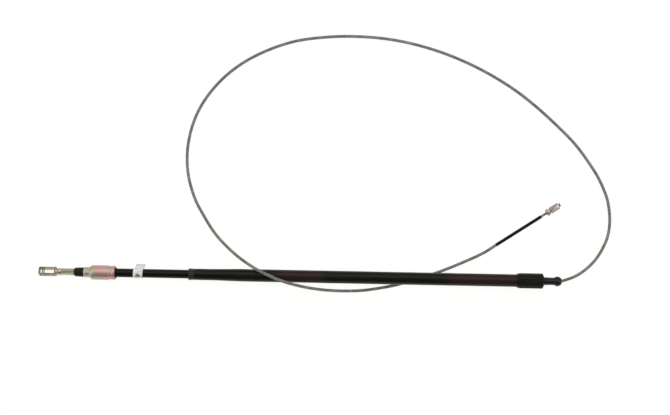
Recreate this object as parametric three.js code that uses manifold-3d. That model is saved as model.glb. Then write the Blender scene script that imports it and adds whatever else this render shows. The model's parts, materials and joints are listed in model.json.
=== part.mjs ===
// Parking brake cable laid out on a flat surface. A straight armoured conduit carries an eye
// fitting at its left end and a ball end at its right end, and a coated wire rope leaves the ball
// in one large loop that ends in a nipple.
//
// Millimetres, +Z up. The origin is on the surface, under the middle of the straight body.
// +X runs along the body from the eye to the ball, +Y points to the loop's side.

import * as THREE from "three";
import { mergeVertices } from "three/addons/utils/BufferGeometryUtils.js";
import Module from "manifold-3d";

const wasm = await Module();
wasm.setup();

// Play between pieces
const FIT = 0.2; // radial, where one piece is pushed into another
const SEAT = 0.3; // along the axis, where one piece seats against the next
const ROPE_PLAY = 0.4; // radial, where the coated rope slides
const OVERCUT = 1; // how far a cutter runs past the face that it cuts

// Wire rope
const STRAND_D = 2.8; // bare steel strand
const ROPE_D = 3.4; // strand with its coating

// Eye loop, a strap bent round and closed by an end wall
const EYE_LENGTH = 20;
const EYE_HEIGHT = 8.8;
const EYE_WIDTH = 6.2;
const EYE_STRAP = 1.4;
const EYE_END_WALL = 3;
const EYE_CORNER = 1.6; // outer corner radius
const WINDOW_CORNER = 0.7;
const EYE_ROLL = 26.7; // degrees, how far the loop lies turned about the cable's axis
const PIN_D = 3.1;
const PIN_GAP = 1.8; // open gap between the strap's tip and the pin

// Crimp sleeve, seated in the eye's end wall
const BARREL_D = 7.9;
const BARREL_NOSE_D = 7;
const BARREL_NOSE = 2.4; // length of the narrower nose
const BARREL_SEAT = 1.9; // depth of the seat in the end wall
const BARREL_LENGTH = 6.9;
const BARREL_CHAMFER = 0.5;
const CRIMP_LENGTH = 13.8;
const CRIMP_FLATS = 7.2; // across the flats
const CRIMP_SIDES = 8;
const SPIGOT_D = 4.6;

// Rubber boot on the ferrule's spigot
const BOOT_LENGTH = 9.4;
const BOOT_FRONT_D = 9.6;
const BOOT_D = 10.7;
const BOOT_EDGE = 0.9; // edge radius
const BOOT_DISH = 0.8; // depth of the dished front face
const BOOT_WIPER = 3.2; // length of the narrow bore that wipes the rope

// Ferrule
const SPOUT_D = 7; // spigot inside the boot
const SPOUT_LENGTH = 5.2;
const COLLAR_FRONT_D = 9;
const COLLAR_D = 11.4;
const COLLAR_LENGTH = 6.4;
const COLLAR_ROUND = 1.6;
const CONE_LENGTH = 3.3;
const FERRULE_D = 16;
const FERRULE_LENGTH = 18.1; // the full-width stretch
const GROOVE_D = 14.9;
const GROOVE_LENGTH = 4.6;
const GROOVE_RAMP = 0.7;
const LIP_LENGTH = 2.4;
const LIP_ROUND = 0.6;
const FERRULE_FLOOR = 2.5; // wall between the cone's foot and the conduit's end

// Seal ring in the ferrule's mouth
const SEAL_D = 12.4;
const SEAL_DEPTH = 3.6;
const SEAL_PROUD = 1.2;
const SEAL_EDGE = 0.5;

// Conduit
const LINER_WALL = 0.5;
const WINDING_WALL = 0.8;
const CONDUIT_D = 9.6;
const CONDUIT_SHOWN = 80.8; // from the ferrule to the protective tube

// Label stuck round the conduit
const LABEL_WIDTH = 11.4;
const LABEL_THICKNESS = 0.4;
const LABEL_FROM_TUBE = 50.4;
const FLAG_LENGTH = 10.3;
const FLAG_HEIGHT = 4.8;
const FLAG_SHIFT = 2.8; // how far the flag's middle lies from the label's middle

// Protective tube over the conduit
const TUBE_SHOWN = 360.1;
const TUBE_THIN_D = 12.4;
const TUBE_D = 13.8;
const TUBE_LIP_D = 13;
const TUBE_LIP = 2.4; // length of the lip
const TUBE_TAPER_START = 22;
const TUBE_TAPER_END = 62;

// Ribbed end sleeve
const SLEEVE_LENGTH = 29.5;
const SLEEVE_THICKNESS = 1.2; // radial, from its bore to the ribs' tops
const SLEEVE_LEAD = 2.6; // length of the plain lead at its front
const SLEEVE_LEAD_STEP = 0.6; // radial, how far the lead lies below the ribs
const SLEEVE_RIBS = 16;
const RIB_DEPTH = 0.35;
const RIB_SHARE = 0.3; // share of the pitch that is groove
const SLEEVE_WALL = 4; // rear wall
const SLEEVE_CHAMFER = 1.6; // along the axis
const SLEEVE_CHAMFER_STEP = 3; // radial

// Moulded guide: a flange held in the sleeve, a neck and a ball
const GUIDE_FLANGE = 3; // thickness of the flange
const NECK_D = 8.2;
const NECK_LENGTH = 14.8; // from the sleeve to the ball's centre
const NECK_RINGS = 2;
const NECK_RING_D = 8.9;
const NECK_RING = 1.2; // width of a ring
const NECK_RING_PITCH = 2.6;
const BALL_D = 10.8;
const MOUTH_D = 6.6;
const MOUTH_DEPTH = 2.2;
const ROPE_START = 1.8; // how far past the ball's centre the housed rope ends

// Where the ball's centre is, and where the free rope passes over and under the tube
const BALL_CENTRE_X = 281.9;
const OVER_X = -31;
const UNDER_X = 131;

// End of the rope: sheath, bare strand and nipple
const SHEATH_D = 3.6;
const SHEATH_LENGTH = 59;
const BARE_LENGTH = 6.6;
const FLANGE_D = 8.3;
const FLANGE_LENGTH = 3.2;
const FLANGE_RIM = 0.9; // cylindrical rim beside the dome
const NIPPLE_NECK_D = 5.6;
const NIPPLE_NECK = 2.1;
const NIPPLE_D = 7.7;
const NIPPLE_FLATS = 7.1;
const NIPPLE_LENGTH = 11;
const NIPPLE_CHAMFER = 0.8;
const STUB_LENGTH = 2;
const TAIL_X = 214.7;
const TAIL_Y = 38.1;
const TAIL_HEADING = 33.5; // degrees from +X
const TAIL_LEAD = 15; // straight stretch of rope before the sheath

// Facets
const ROUND_SIDES = 32;
const SMALL_SIDES = 20;
const CORD_SIDES = 8;
const CORD_STEPS = 80;

// Stations along the body, worked out from the ball towards the eye
const mouthRim = BALL_CENTRE_X + Math.sqrt((BALL_D / 2) ** 2 - (MOUTH_D / 2) ** 2);
const sleeveRear = BALL_CENTRE_X - NECK_LENGTH;
const sleeveFront = sleeveRear - SLEEVE_LENGTH;
const sleeveFloor = sleeveRear - SLEEVE_WALL;
const flangeRear = sleeveFloor - SEAT;
const flangeFront = flangeRear - GUIDE_FLANGE;
const conduitEnd = flangeFront - SEAT;
const tubeFront = sleeveFront - TUBE_SHOWN;
const labelRear = tubeFront - LABEL_FROM_TUBE;
const labelFront = labelRear - LABEL_WIDTH;
const ferruleRear = tubeFront - CONDUIT_SHOWN;
const lipFront = ferruleRear - LIP_LENGTH;
const grooveFront = lipFront - GROOVE_LENGTH;
const ferruleFront = grooveFront - FERRULE_LENGTH;
const coneFront = ferruleFront - CONE_LENGTH;
const collarFront = coneFront - COLLAR_LENGTH;
const spoutFront = collarFront - SPOUT_LENGTH;
const conduitFront = coneFront + FERRULE_FLOOR;
const bootRear = collarFront - SEAT;
const bootFront = bootRear - BOOT_LENGTH;
const crimpRear = bootFront - SEAT;
const crimpFront = crimpRear - CRIMP_LENGTH;
const barrelFront = crimpFront - BARREL_LENGTH;
const seatFloor = barrelFront - SEAT;
const eyeRear = seatFloor + BARREL_SEAT;
const windowRear = eyeRear - EYE_END_WALL;
const eyeTip = eyeRear - EYE_LENGTH;
const windowFront = eyeTip + EYE_STRAP;
const pinCentre = windowFront + PIN_GAP + PIN_D / 2;
const innerRopeEnd = BALL_CENTRE_X + ROPE_START;

// Radii that follow from the pieces inside
const strandBore = STRAND_D / 2 + FIT;
const guideBore = ROPE_D / 2 + ROPE_PLAY;
const linerRadius = guideBore + LINER_WALL;
const windingBore = linerRadius + FIT;
const windingRadius = windingBore + WINDING_WALL;
const jacketBore = windingRadius + FIT;
const conduitSocket = CONDUIT_D / 2 + FIT;
const sleeveBore = TUBE_D / 2 + FIT;
const sleeveRadius = sleeveBore + SLEEVE_THICKNESS;
const guideFlangeRadius = sleeveBore - 2 * FIT;
const neckRootRadius = NECK_RING_D / 2; // in the sleeve's rear wall, so the rings pass its hole

// The body leans: it rests on the ferrule's front edge and on the rope that passes under the tube.
const restLift = ROPE_D + SEAT + TUBE_D / 2 - FERRULE_D / 2;
const lean = Math.asin(restLift / (UNDER_X - ferruleFront));
const axisHeight = (FERRULE_D / 2) * Math.cos(lean) - ferruleFront * Math.sin(lean);
const heightOfAxis = (x) => axisHeight + x * Math.tan(lean);

// Heights of the rope's centreline
const onFloor = ROPE_D / 2;
const atBall = heightOfAxis(mouthRim);
const overTube = heightOfAxis(OVER_X) + TUBE_D / 2 + SEAT + ROPE_D / 2;
const atSheath = SHEATH_D / 2;

const steel = { color: 0xc4bea6, roughness: 0.35, metalness: 0.9 };
const blackPlastic = { color: 0x17171a, roughness: 0.45, metalness: 0 };
const blackRubber = { color: 0x26261c, roughness: 0.8, metalness: 0 };

function welded(geometry) {
  geometry.deleteAttribute("normal");
  geometry.deleteAttribute("uv");
  const merged = mergeVertices(geometry, 1e-4);
  const corners = merged.index.array;
  const kept = [];
  for (let i = 0; i < corners.length; i += 3) {
    const [a, b, c] = corners.slice(i, i + 3);
    if (a !== b && b !== c && c !== a) kept.push(a, b, c);
  }
  merged.setIndex(kept);
  return merged;
}

// A turned piece: its half section as [station, radius] pairs, outside first, then back along
// the bore.
function turned(section, sides = ROUND_SIDES) {
  const points = section.map(([x, r]) => new THREE.Vector2(r, x));
  points.push(points[0].clone());
  const geometry = new THREE.LatheGeometry(points, sides);
  geometry.rotateZ(-Math.PI / 2);
  return welded(geometry);
}

function rod(front, rear, radius, sides = ROUND_SIDES) {
  return turned([[front, 0], [front, radius], [rear, radius], [rear, 0]], sides);
}

function tube(front, rear, radius, bore, sides = ROUND_SIDES) {
  return turned([[front, bore], [front, radius], [rear, radius], [rear, bore]], sides);
}

// Points of an arc in a half section, angles in degrees from the station axis.
function arc(x, r, radius, from, to, steps) {
  const points = [];
  for (let i = 0; i <= steps; i += 1) {
    const angle = THREE.MathUtils.degToRad(from + ((to - from) * i) / steps);
    points.push([x + radius * Math.cos(angle), r + radius * Math.sin(angle)]);
  }
  return points;
}

function toSolid(geometry) {
  const mesh = new wasm.Mesh({
    numProp: 3,
    vertProperties: new Float32Array(geometry.attributes.position.array),
    triVerts: new Uint32Array(geometry.index.array),
  });
  return new wasm.Manifold(mesh);
}

function toGeometry(solid) {
  const mesh = solid.getMesh();
  const geometry = new THREE.BufferGeometry();
  geometry.setAttribute("position", new THREE.BufferAttribute(mesh.vertProperties, 3));
  geometry.setIndex(new THREE.BufferAttribute(mesh.triVerts, 1));
  return geometry;
}

function joined(first, ...others) {
  return toGeometry(others.reduce((sum, next) => sum.add(toSolid(next)), toSolid(first)));
}

function cut(blank, ...cutters) {
  return toGeometry(cutters.reduce((rest, next) => rest.subtract(toSolid(next)), toSolid(blank)));
}

function common(first, second) {
  return toGeometry(toSolid(first).intersect(toSolid(second)));
}

function roundedRectangle(path, left, right, height, radius) {
  const top = height / 2;
  path.moveTo(left + radius, -top);
  path.lineTo(right - radius, -top);
  path.absarc(right - radius, -top + radius, radius, -Math.PI / 2, 0);
  path.lineTo(right, top - radius);
  path.absarc(right - radius, top - radius, radius, 0, Math.PI / 2);
  path.lineTo(left + radius, top);
  path.absarc(left + radius, top - radius, radius, Math.PI / 2, Math.PI);
  path.lineTo(left, -top + radius);
  path.absarc(left + radius, -top + radius, radius, Math.PI, 1.5 * Math.PI);
  return path;
}

// A prism along the body's axis with the given outline, which is drawn across that axis.
function prism(outline, front, rear) {
  const shape = new THREE.Shape(outline);
  const geometry = new THREE.ExtrudeGeometry(shape, { depth: rear - front, bevelEnabled: false });
  geometry.rotateY(Math.PI / 2);
  geometry.translate(front, 0, 0);
  return welded(geometry);
}

// Corners of a regular outline with a flat on top.
function regularOutline(sides, acrossFlats) {
  const radius = acrossFlats / 2 / Math.cos(Math.PI / sides);
  const corners = [];
  for (let i = 0; i < sides; i += 1) {
    const angle = ((i + 0.5) * 2 * Math.PI) / sides;
    corners.push(new THREE.Vector2(radius * Math.cos(angle), radius * Math.sin(angle)));
  }
  return corners;
}

function eyeLoop() {
  const strap = roundedRectangle(new THREE.Shape(), eyeTip, eyeRear, EYE_HEIGHT, EYE_CORNER);
  const inside = EYE_HEIGHT - 2 * EYE_STRAP;
  const window = new THREE.Path();
  strap.holes.push(roundedRectangle(window, windowFront, windowRear, inside, WINDOW_CORNER));
  const blank = new THREE.ExtrudeGeometry(strap, {
    depth: EYE_WIDTH,
    bevelEnabled: false,
    curveSegments: 5,
  });
  blank.translate(0, 0, -EYE_WIDTH / 2);
  const barrelSeat = rod(seatFloor, eyeRear + OVERCUT, BARREL_NOSE_D / 2 + FIT);
  const spigotRadius = SPIGOT_D / 2 + FIT;
  const spigotHole = rod(windowRear - OVERCUT, seatFloor + OVERCUT, spigotRadius, SMALL_SIDES);
  const pinHole = pinCylinder(PIN_D / 2 + FIT, EYE_HEIGHT + 2 * OVERCUT);
  return cut(welded(blank), barrelSeat, spigotHole, pinHole);
}

function pinCylinder(radius, length) {
  const geometry = new THREE.CylinderGeometry(radius, radius, length, SMALL_SIDES);
  geometry.translate(pinCentre, 0, 0);
  return welded(geometry);
}

function crimpSleeve() {
  const noseRear = barrelFront + BARREL_NOSE;
  const crimpRoot = crimpFront - BARREL_CHAMFER;
  const barrel = turned([
    [windowRear, 0],
    [windowRear, SPIGOT_D / 2],
    [barrelFront, SPIGOT_D / 2],
    [barrelFront, BARREL_NOSE_D / 2],
    [noseRear, BARREL_NOSE_D / 2],
    [noseRear + BARREL_CHAMFER, BARREL_D / 2],
    [crimpFront, BARREL_D / 2],
    [crimpFront, 0],
  ]);
  const crimp = prism(regularOutline(CRIMP_SIDES, CRIMP_FLATS), crimpRoot, crimpRear);
  const turnedEnd = turned([
    [crimpRoot, 0],
    [crimpRoot, BARREL_D / 2],
    [crimpRear - BARREL_CHAMFER, BARREL_D / 2],
    [crimpRear, BARREL_D / 2 - BARREL_CHAMFER],
    [crimpRear, 0],
  ]);
  const bore = rod(windowRear - OVERCUT, crimpRear + OVERCUT, strandBore, SMALL_SIDES);
  return cut(joined(barrel, common(crimp, turnedEnd)), bore);
}

function innerRope() {
  return turned([
    [windowRear, 0],
    [windowRear, STRAND_D / 2],
    [crimpRear + SEAT, STRAND_D / 2],
    [crimpRear + SEAT, ROPE_D / 2],
    [innerRopeEnd, ROPE_D / 2],
    [innerRopeEnd, 0],
  ], SMALL_SIDES);
}

function ropeBoot() {
  const wiperRear = bootRear - SPOUT_LENGTH - 2 * SEAT;
  return turned([
    [bootFront + BOOT_DISH, guideBore],
    [bootFront + BOOT_DISH, BOOT_FRONT_D / 2 - 2 * BOOT_EDGE],
    [bootFront, BOOT_FRONT_D / 2 - 1.4 * BOOT_EDGE],
    ...arc(bootFront + BOOT_EDGE, BOOT_FRONT_D / 2 - BOOT_EDGE, BOOT_EDGE, 180, 90, 4).slice(1),
    [bootRear - BOOT_EDGE / 2, BOOT_D / 2],
    [bootRear, BOOT_D / 2 - BOOT_EDGE / 2],
    [bootRear, SPOUT_D / 2 + FIT],
    [wiperRear, SPOUT_D / 2 + FIT],
    [wiperRear, guideBore],
  ]);
}

function ferrule() {
  const outside = [
    [spoutFront, SPOUT_D / 2],
    [collarFront, SPOUT_D / 2],
    [collarFront, COLLAR_FRONT_D / 2],
    [collarFront + COLLAR_ROUND / 2, COLLAR_D / 2 - COLLAR_ROUND / 5],
    [collarFront + COLLAR_ROUND, COLLAR_D / 2],
    [coneFront, COLLAR_D / 2],
    [ferruleFront, FERRULE_D / 2],
    [grooveFront, FERRULE_D / 2],
    [grooveFront + GROOVE_RAMP, GROOVE_D / 2],
    [lipFront - GROOVE_RAMP, GROOVE_D / 2],
    [lipFront, FERRULE_D / 2 - FIT],
    ...arc(ferruleRear - LIP_ROUND, FERRULE_D / 2 - FIT - LIP_ROUND, LIP_ROUND, 90, 0, 3),
  ];
  const inside = [
    [ferruleRear, SEAL_D / 2 + FIT],
    [ferruleRear - SEAL_DEPTH - SEAT, SEAL_D / 2 + FIT],
    [ferruleRear - SEAL_DEPTH - SEAT, conduitSocket],
    [conduitFront - SEAT, conduitSocket],
    [conduitFront - SEAT, guideBore],
    [spoutFront, guideBore],
  ];
  return turned([...outside, ...inside]);
}

function ferruleSeal() {
  const rear = ferruleRear + SEAL_PROUD;
  return turned([
    [ferruleRear - SEAL_DEPTH, conduitSocket],
    [ferruleRear - SEAL_DEPTH, SEAL_D / 2],
    ...arc(rear - SEAL_EDGE, SEAL_D / 2 - SEAL_EDGE, SEAL_EDGE, 90, 0, 3),
    [rear, conduitSocket],
  ]);
}

function labelWrap() {
  const bore = CONDUIT_D / 2 + FIT;
  const radius = bore + LABEL_THICKNESS;
  const ring = tube(labelFront, labelRear, radius, bore);
  const root = bore + LABEL_THICKNESS / 2;
  const flag = new THREE.BoxGeometry(FLAG_LENGTH, radius + FLAG_HEIGHT - root, LABEL_THICKNESS);
  flag.translate(
    (labelFront + labelRear) / 2 + FLAG_SHIFT,
    (radius + FLAG_HEIGHT + root) / 2,
    0,
  );
  return joined(ring, welded(flag));
}

function protectiveTube() {
  return turned([
    [tubeFront, TUBE_LIP_D / 2 - FIT],
    [tubeFront + FIT, TUBE_LIP_D / 2],
    [tubeFront + TUBE_LIP, TUBE_LIP_D / 2],
    [tubeFront + TUBE_LIP + FIT, TUBE_THIN_D / 2],
    [tubeFront + TUBE_TAPER_START, TUBE_THIN_D / 2],
    [tubeFront + TUBE_TAPER_END, TUBE_D / 2],
    [conduitEnd, TUBE_D / 2],
    [conduitEnd, conduitSocket],
    [tubeFront, conduitSocket],
  ]);
}

function ribbedOutline() {
  const outline = [];
  for (let i = 0; i < SLEEVE_RIBS; i += 1) {
    const shares = [0, 1 - RIB_SHARE, 1 - RIB_SHARE * 0.75, 1 - RIB_SHARE * 0.25];
    const depths = [0, 0, RIB_DEPTH, RIB_DEPTH];
    shares.forEach((share, corner) => {
      const angle = ((i + share) * 2 * Math.PI) / SLEEVE_RIBS;
      const radius = sleeveRadius - depths[corner];
      outline.push(new THREE.Vector2(radius * Math.cos(angle), radius * Math.sin(angle)));
    });
  }
  return outline;
}

function endSleeve() {
  const ribbed = prism(ribbedOutline(), sleeveFront, sleeveRear);
  const leadRadius = sleeveRadius - SLEEVE_LEAD_STEP;
  const overRibs = sleeveRadius + FIT;
  const envelope = turned([
    [sleeveFront, 0],
    [sleeveFront, leadRadius],
    [sleeveFront + SLEEVE_LEAD / 2, leadRadius],
    [sleeveFront + SLEEVE_LEAD, overRibs],
    [sleeveRear - SLEEVE_CHAMFER, overRibs],
    [sleeveRear, sleeveRadius - SLEEVE_CHAMFER_STEP],
    [sleeveRear, 0],
  ]);
  const bore = rod(sleeveFront - OVERCUT, sleeveFloor, sleeveBore);
  const neckHole = rod(sleeveFloor - OVERCUT, sleeveRear + OVERCUT, neckRootRadius + FIT);
  return cut(common(ribbed, envelope), bore, neckHole);
}

function ballGuide() {
  const neckRadius = NECK_D / 2;
  const ballRadius = BALL_D / 2;
  const ballStart = 180 - THREE.MathUtils.radToDeg(Math.asin(neckRadius / ballRadius));
  const ballEnd = THREE.MathUtils.radToDeg(Math.asin(MOUTH_D / 2 / ballRadius));
  const rings = [];
  for (let i = 0; i < NECK_RINGS; i += 1) {
    const ringFront = sleeveRear + NECK_RING + i * NECK_RING_PITCH;
    rings.push(
      [ringFront, neckRadius],
      [ringFront, NECK_RING_D / 2],
      [ringFront + NECK_RING, NECK_RING_D / 2],
      [ringFront + NECK_RING, neckRadius],
    );
  }
  return turned([
    [flangeFront, guideFlangeRadius],
    [flangeRear, guideFlangeRadius],
    [flangeRear, neckRootRadius],
    [sleeveRear, neckRootRadius],
    [sleeveRear, neckRadius],
    ...rings,
    ...arc(BALL_CENTRE_X, 0, ballRadius, ballStart, ballEnd, 12),
    [mouthRim - MOUTH_DEPTH, guideBore],
    [flangeFront, guideBore],
  ]);
}

// The free rope's route as [x, y, lift]. Lift is the share of the way up from the surface to what
// carries the rope: the ball on the way out of it, and the top of the tube where it passes over.
const leavingBall = [
  [300.7, 5.6, 0.96],
  [311.4, 12.4, 0.88],
  [323, 23.5, 0.69],
  [331.6, 36.4, 0.46],
  [337.2, 49.3, 0.26],
  [339.6, 62.1, 0.11],
  [339.4, 75.9, 0.03],
];
const loopOnFloor = [
  [336.4, 92],
  [327, 113.6],
  [315.5, 131.3],
  [299.7, 151.6],
  [276.1, 174.6],
  [252.6, 194.8],
  [229, 212],
  [197.9, 229.9],
  [166.7, 243.9],
  [135.7, 254.2],
  [104.6, 261.2],
  [72, 264.8],
  [31, 264.6],
  [-16.1, 257.3],
  [-62.8, 237],
  [-94.3, 211.3],
  [-116.2, 179.4],
  [-126.3, 145],
  [-126.3, 112.8],
  [-118.5, 84.6],
];
const overTheTube = [
  [-108.3, 65.3, 0.01],
  [-95, 45.4, 0.12],
  [-79.3, 29.2, 0.35],
  [-61.9, 15.7, 0.68],
  [-41.1, 3.8, 0.97],
  [-18, -5.6, 0.96],
  [2, -10.8, 0.78],
  [24, -14.2, 0.46],
  [47.6, -15.4, 0.16],
  [68, -14.6, 0.03],
];
const underTheTube = [
  [88, -11.6],
  [108.1, -7.2],
  [150.3, 6.6],
  [178, 18.1],
];

function ropeRoute() {
  const between = (low, high, share) => low + (high - low) * share;
  const heading = THREE.MathUtils.degToRad(TAIL_HEADING);
  const along = (distance, z) => new THREE.Vector3(
    TAIL_X - distance * Math.cos(heading),
    TAIL_Y - distance * Math.sin(heading),
    z,
  );
  const start = innerRopeEnd + SEAT;
  return [
    new THREE.Vector3(start, 0, heightOfAxis(start)),
    new THREE.Vector3(mouthRim, 0.3, atBall),
    ...leavingBall.map(([x, y, lift]) => new THREE.Vector3(x, y, between(onFloor, atBall, lift))),
    ...loopOnFloor.map(([x, y]) => new THREE.Vector3(x, y, onFloor)),
    ...overTheTube.map(([x, y, lift]) => new THREE.Vector3(x, y, between(onFloor, overTube, lift))),
    ...underTheTube.map(([x, y]) => new THREE.Vector3(x, y, onFloor)),
    along(TAIL_LEAD, onFloor),
    along(SEAT, atSheath),
  ];
}

function freeRope() {
  const outline = new THREE.Shape(regularOutline(CORD_SIDES, ROPE_D * Math.cos(Math.PI / CORD_SIDES)));
  const route = new THREE.CatmullRomCurve3(ropeRoute(), false, "centripetal");
  const rope = new THREE.ExtrudeGeometry(outline, { steps: CORD_STEPS, extrudePath: route });
  return welded(rope);
}

// Stations along the rope's end, from where the sheath starts
const sheathRear = SHEATH_LENGTH;
const flangeStart = sheathRear + BARE_LENGTH;
const flangeEnd = flangeStart + FLANGE_LENGTH;
const nippleStart = flangeEnd + NIPPLE_NECK;
const nippleEnd = nippleStart + NIPPLE_LENGTH;
const stubEnd = nippleEnd + STUB_LENGTH;

function ropeSheath() {
  return tube(0, sheathRear, SHEATH_D / 2, strandBore, SMALL_SIDES);
}

function ropeEnd() {
  return rod(0, stubEnd, STRAND_D / 2, SMALL_SIDES);
}

function nipple() {
  const domeHeight = FLANGE_LENGTH - FLANGE_RIM;
  const domeFoot = strandBore + FIT;
  const dome = [];
  for (let i = 0; i <= 5; i += 1) {
    const angle = (i * Math.PI) / 10;
    const radius = domeFoot + (FLANGE_D / 2 - domeFoot) * Math.sin(angle);
    dome.push([flangeStart + domeHeight * (1 - Math.cos(angle)), radius]);
  }
  const head = turned([
    [flangeStart, 0],
    ...dome,
    [flangeEnd, FLANGE_D / 2],
    [flangeEnd, NIPPLE_NECK_D / 2],
    [nippleStart + OVERCUT, NIPPLE_NECK_D / 2],
    [nippleStart + OVERCUT, 0],
  ]);
  const swaged = prism(regularOutline(CRIMP_SIDES, NIPPLE_FLATS), nippleStart, nippleEnd);
  const envelope = turned([
    [nippleStart, 0],
    [nippleStart, NIPPLE_D / 2],
    [nippleEnd - NIPPLE_CHAMFER, NIPPLE_D / 2],
    [nippleEnd, NIPPLE_D / 2 - NIPPLE_CHAMFER],
    [nippleEnd, 0],
  ]);
  const bore = rod(flangeStart - OVERCUT, nippleEnd + OVERCUT, strandBore, SMALL_SIDES);
  return cut(joined(head, common(swaged, envelope)), bore);
}

function piece(name, geometry, finish) {
  const material = new THREE.MeshStandardMaterial({ ...finish, flatShading: true });
  const mesh = new THREE.Mesh(geometry, material);
  mesh.name = name;
  return mesh;
}

const body = new THREE.Group();
body.rotation.y = -lean;
body.position.z = axisHeight;

const eye = new THREE.Group();
eye.rotation.x = -THREE.MathUtils.degToRad(EYE_ROLL);
eye.add(
  piece("eye_loop", eyeLoop(), steel),
  piece("eye_pin", pinCylinder(PIN_D / 2, EYE_HEIGHT), steel),
);

const steelWinding = { color: 0x8c8c88, roughness: 0.5, metalness: 0.9 };
const whiteLiner = { color: 0xe4e2da, roughness: 0.5, metalness: 0 };
const whiteLabel = { color: 0xd7d7d2, roughness: 0.7, metalness: 0 };
const greyCoating = { color: 0x878782, roughness: 0.45, metalness: 0 };
const windingBody = tube(conduitFront, conduitEnd, windingRadius, windingBore);
const jacketBody = tube(conduitFront, conduitEnd, CONDUIT_D / 2, jacketBore);

body.add(
  eye,
  piece("crimp_sleeve", crimpSleeve(), steel),
  piece("inner_rope", innerRope(), greyCoating),
  piece("rope_boot", ropeBoot(), blackRubber),
  piece("ferrule", ferrule(), steel),
  piece("ferrule_seal", ferruleSeal(), blackRubber),
  piece("conduit_liner", tube(conduitFront, conduitEnd, linerRadius, guideBore), whiteLiner),
  piece("conduit_winding", windingBody, steelWinding),
  piece("conduit_jacket", jacketBody, blackPlastic),
  piece("label_wrap", labelWrap(), whiteLabel),
  piece("protective_tube", protectiveTube(), blackPlastic),
  piece("end_sleeve", endSleeve(), blackRubber),
  piece("ball_guide", ballGuide(), blackPlastic),
);

const tail = new THREE.Group();
tail.position.set(TAIL_X, TAIL_Y, atSheath);
const tailPitch = Math.atan((FLANGE_D / 2 - atSheath) / flangeStart);
tail.rotation.set(0, -tailPitch, THREE.MathUtils.degToRad(TAIL_HEADING), "ZYX");
tail.add(
  piece("rope_sheath", ropeSheath(), blackPlastic),
  piece("rope_end", ropeEnd(), steelWinding),
  piece("nipple", nipple(), steel),
);

const cable = new THREE.Group();
cable.add(body, piece("free_rope", freeRope(), greyCoating), tail);

export default cable;
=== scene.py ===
# %% [markdown]
# # A parking brake cable, dressed for a studio photograph
#
# A parking brake cable is a wire rope that pulls and a stiff conduit that it is pulled through.
# At the left end the rope is swaged into a steel sleeve with an eye for the lever's hook. At the
# right end it leaves the conduit through a ball, runs round in one large loop, and ends in a
# steel nipple. The solids are already built at their real size. This script gives each of them
# its fine shape and its finish, and lights the whole for a view from straight above.

# %% Load the solids
import json
import math

import bmesh
import bpy
from mathutils import Matrix, Vector, noise
from mathutils.geometry import interpolate_bezier


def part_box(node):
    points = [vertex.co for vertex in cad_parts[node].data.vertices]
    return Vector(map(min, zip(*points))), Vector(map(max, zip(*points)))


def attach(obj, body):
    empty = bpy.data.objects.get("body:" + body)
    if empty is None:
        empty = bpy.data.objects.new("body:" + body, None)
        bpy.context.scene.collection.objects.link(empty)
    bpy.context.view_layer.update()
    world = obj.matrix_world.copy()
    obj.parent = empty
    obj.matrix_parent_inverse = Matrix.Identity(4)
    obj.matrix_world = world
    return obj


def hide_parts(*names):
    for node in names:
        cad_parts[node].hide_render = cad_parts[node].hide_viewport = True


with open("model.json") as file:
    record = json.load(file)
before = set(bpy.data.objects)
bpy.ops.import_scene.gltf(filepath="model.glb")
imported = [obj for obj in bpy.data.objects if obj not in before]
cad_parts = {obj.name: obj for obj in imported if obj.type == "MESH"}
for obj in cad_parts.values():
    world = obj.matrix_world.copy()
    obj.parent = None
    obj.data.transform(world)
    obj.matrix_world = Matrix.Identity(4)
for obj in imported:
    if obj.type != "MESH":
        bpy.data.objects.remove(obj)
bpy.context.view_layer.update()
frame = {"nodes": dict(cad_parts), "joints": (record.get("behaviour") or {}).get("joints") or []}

# %% [markdown]
# ## The camera
#
# The cable lies on a table and the camera looks straight down at it. One pixel of the photograph
# is 1.1 mm on the table, and the picture is 670 pixels wide. The cable's straight body runs down
# to the right by about one degree, so the camera is turned by that angle about its own line of
# sight. A long lens from 1.6 m up keeps the perspective as mild as in the photograph.

# %% Camera above the table
PHOTO_WIDTH = 670
PIXEL = 0.0011
CAMERA_X = 0.0367
CAMERA_Y = 0.0763
CAMERA_HEIGHT = 1.6
CAMERA_TURN = math.radians(1.108)
BODY_HEIGHT = 0.006

camera_data = bpy.data.cameras.new("camera")
camera_data.sensor_width = 36.0
camera_data.lens = 36.0 * (CAMERA_HEIGHT - BODY_HEIGHT) / (PHOTO_WIDTH * PIXEL)
camera = bpy.data.objects.new("camera", camera_data)
camera.location = (CAMERA_X, CAMERA_Y, CAMERA_HEIGHT)
camera.rotation_euler = (0.0, 0.0, CAMERA_TURN)
bpy.context.scene.collection.objects.link(camera)
bpy.context.scene.camera = camera
print("lens: %.1f mm" % camera_data.lens)

# %% [markdown]
# ## Where the pieces lie
#
# Everything on the straight body is round about one axis. That axis is the middle of the
# conduit's liner, along the way in which the wire slides. It leans a little, because the body
# rests on the ferrule at its left and on the rope that passes under the tube at its right. Each
# piece is modelled along X, about that axis, and is then put in place by one matrix. The rope's
# end has a matrix of its own, because it lies at another heading.

# %% Place of the body, of the eye and of the rope's end
slide = Vector(frame["joints"][0]["axis"])
LEAN = math.asin(-slide.z)
liner_low, liner_high = (Vector(corner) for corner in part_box("conduit_liner"))
liner_middle = (liner_low + liner_high) / 2
axis_foot = Vector((0.0, 0.0, liner_middle.z - liner_middle.x * math.tan(LEAN)))
BODY = Matrix.Translation(axis_foot) @ Matrix.Rotation(-LEAN, 4, "Y")

EYE_ROLL = math.radians(26.7)
EYE = BODY @ Matrix.Rotation(-EYE_ROLL, 4, "X")

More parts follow.
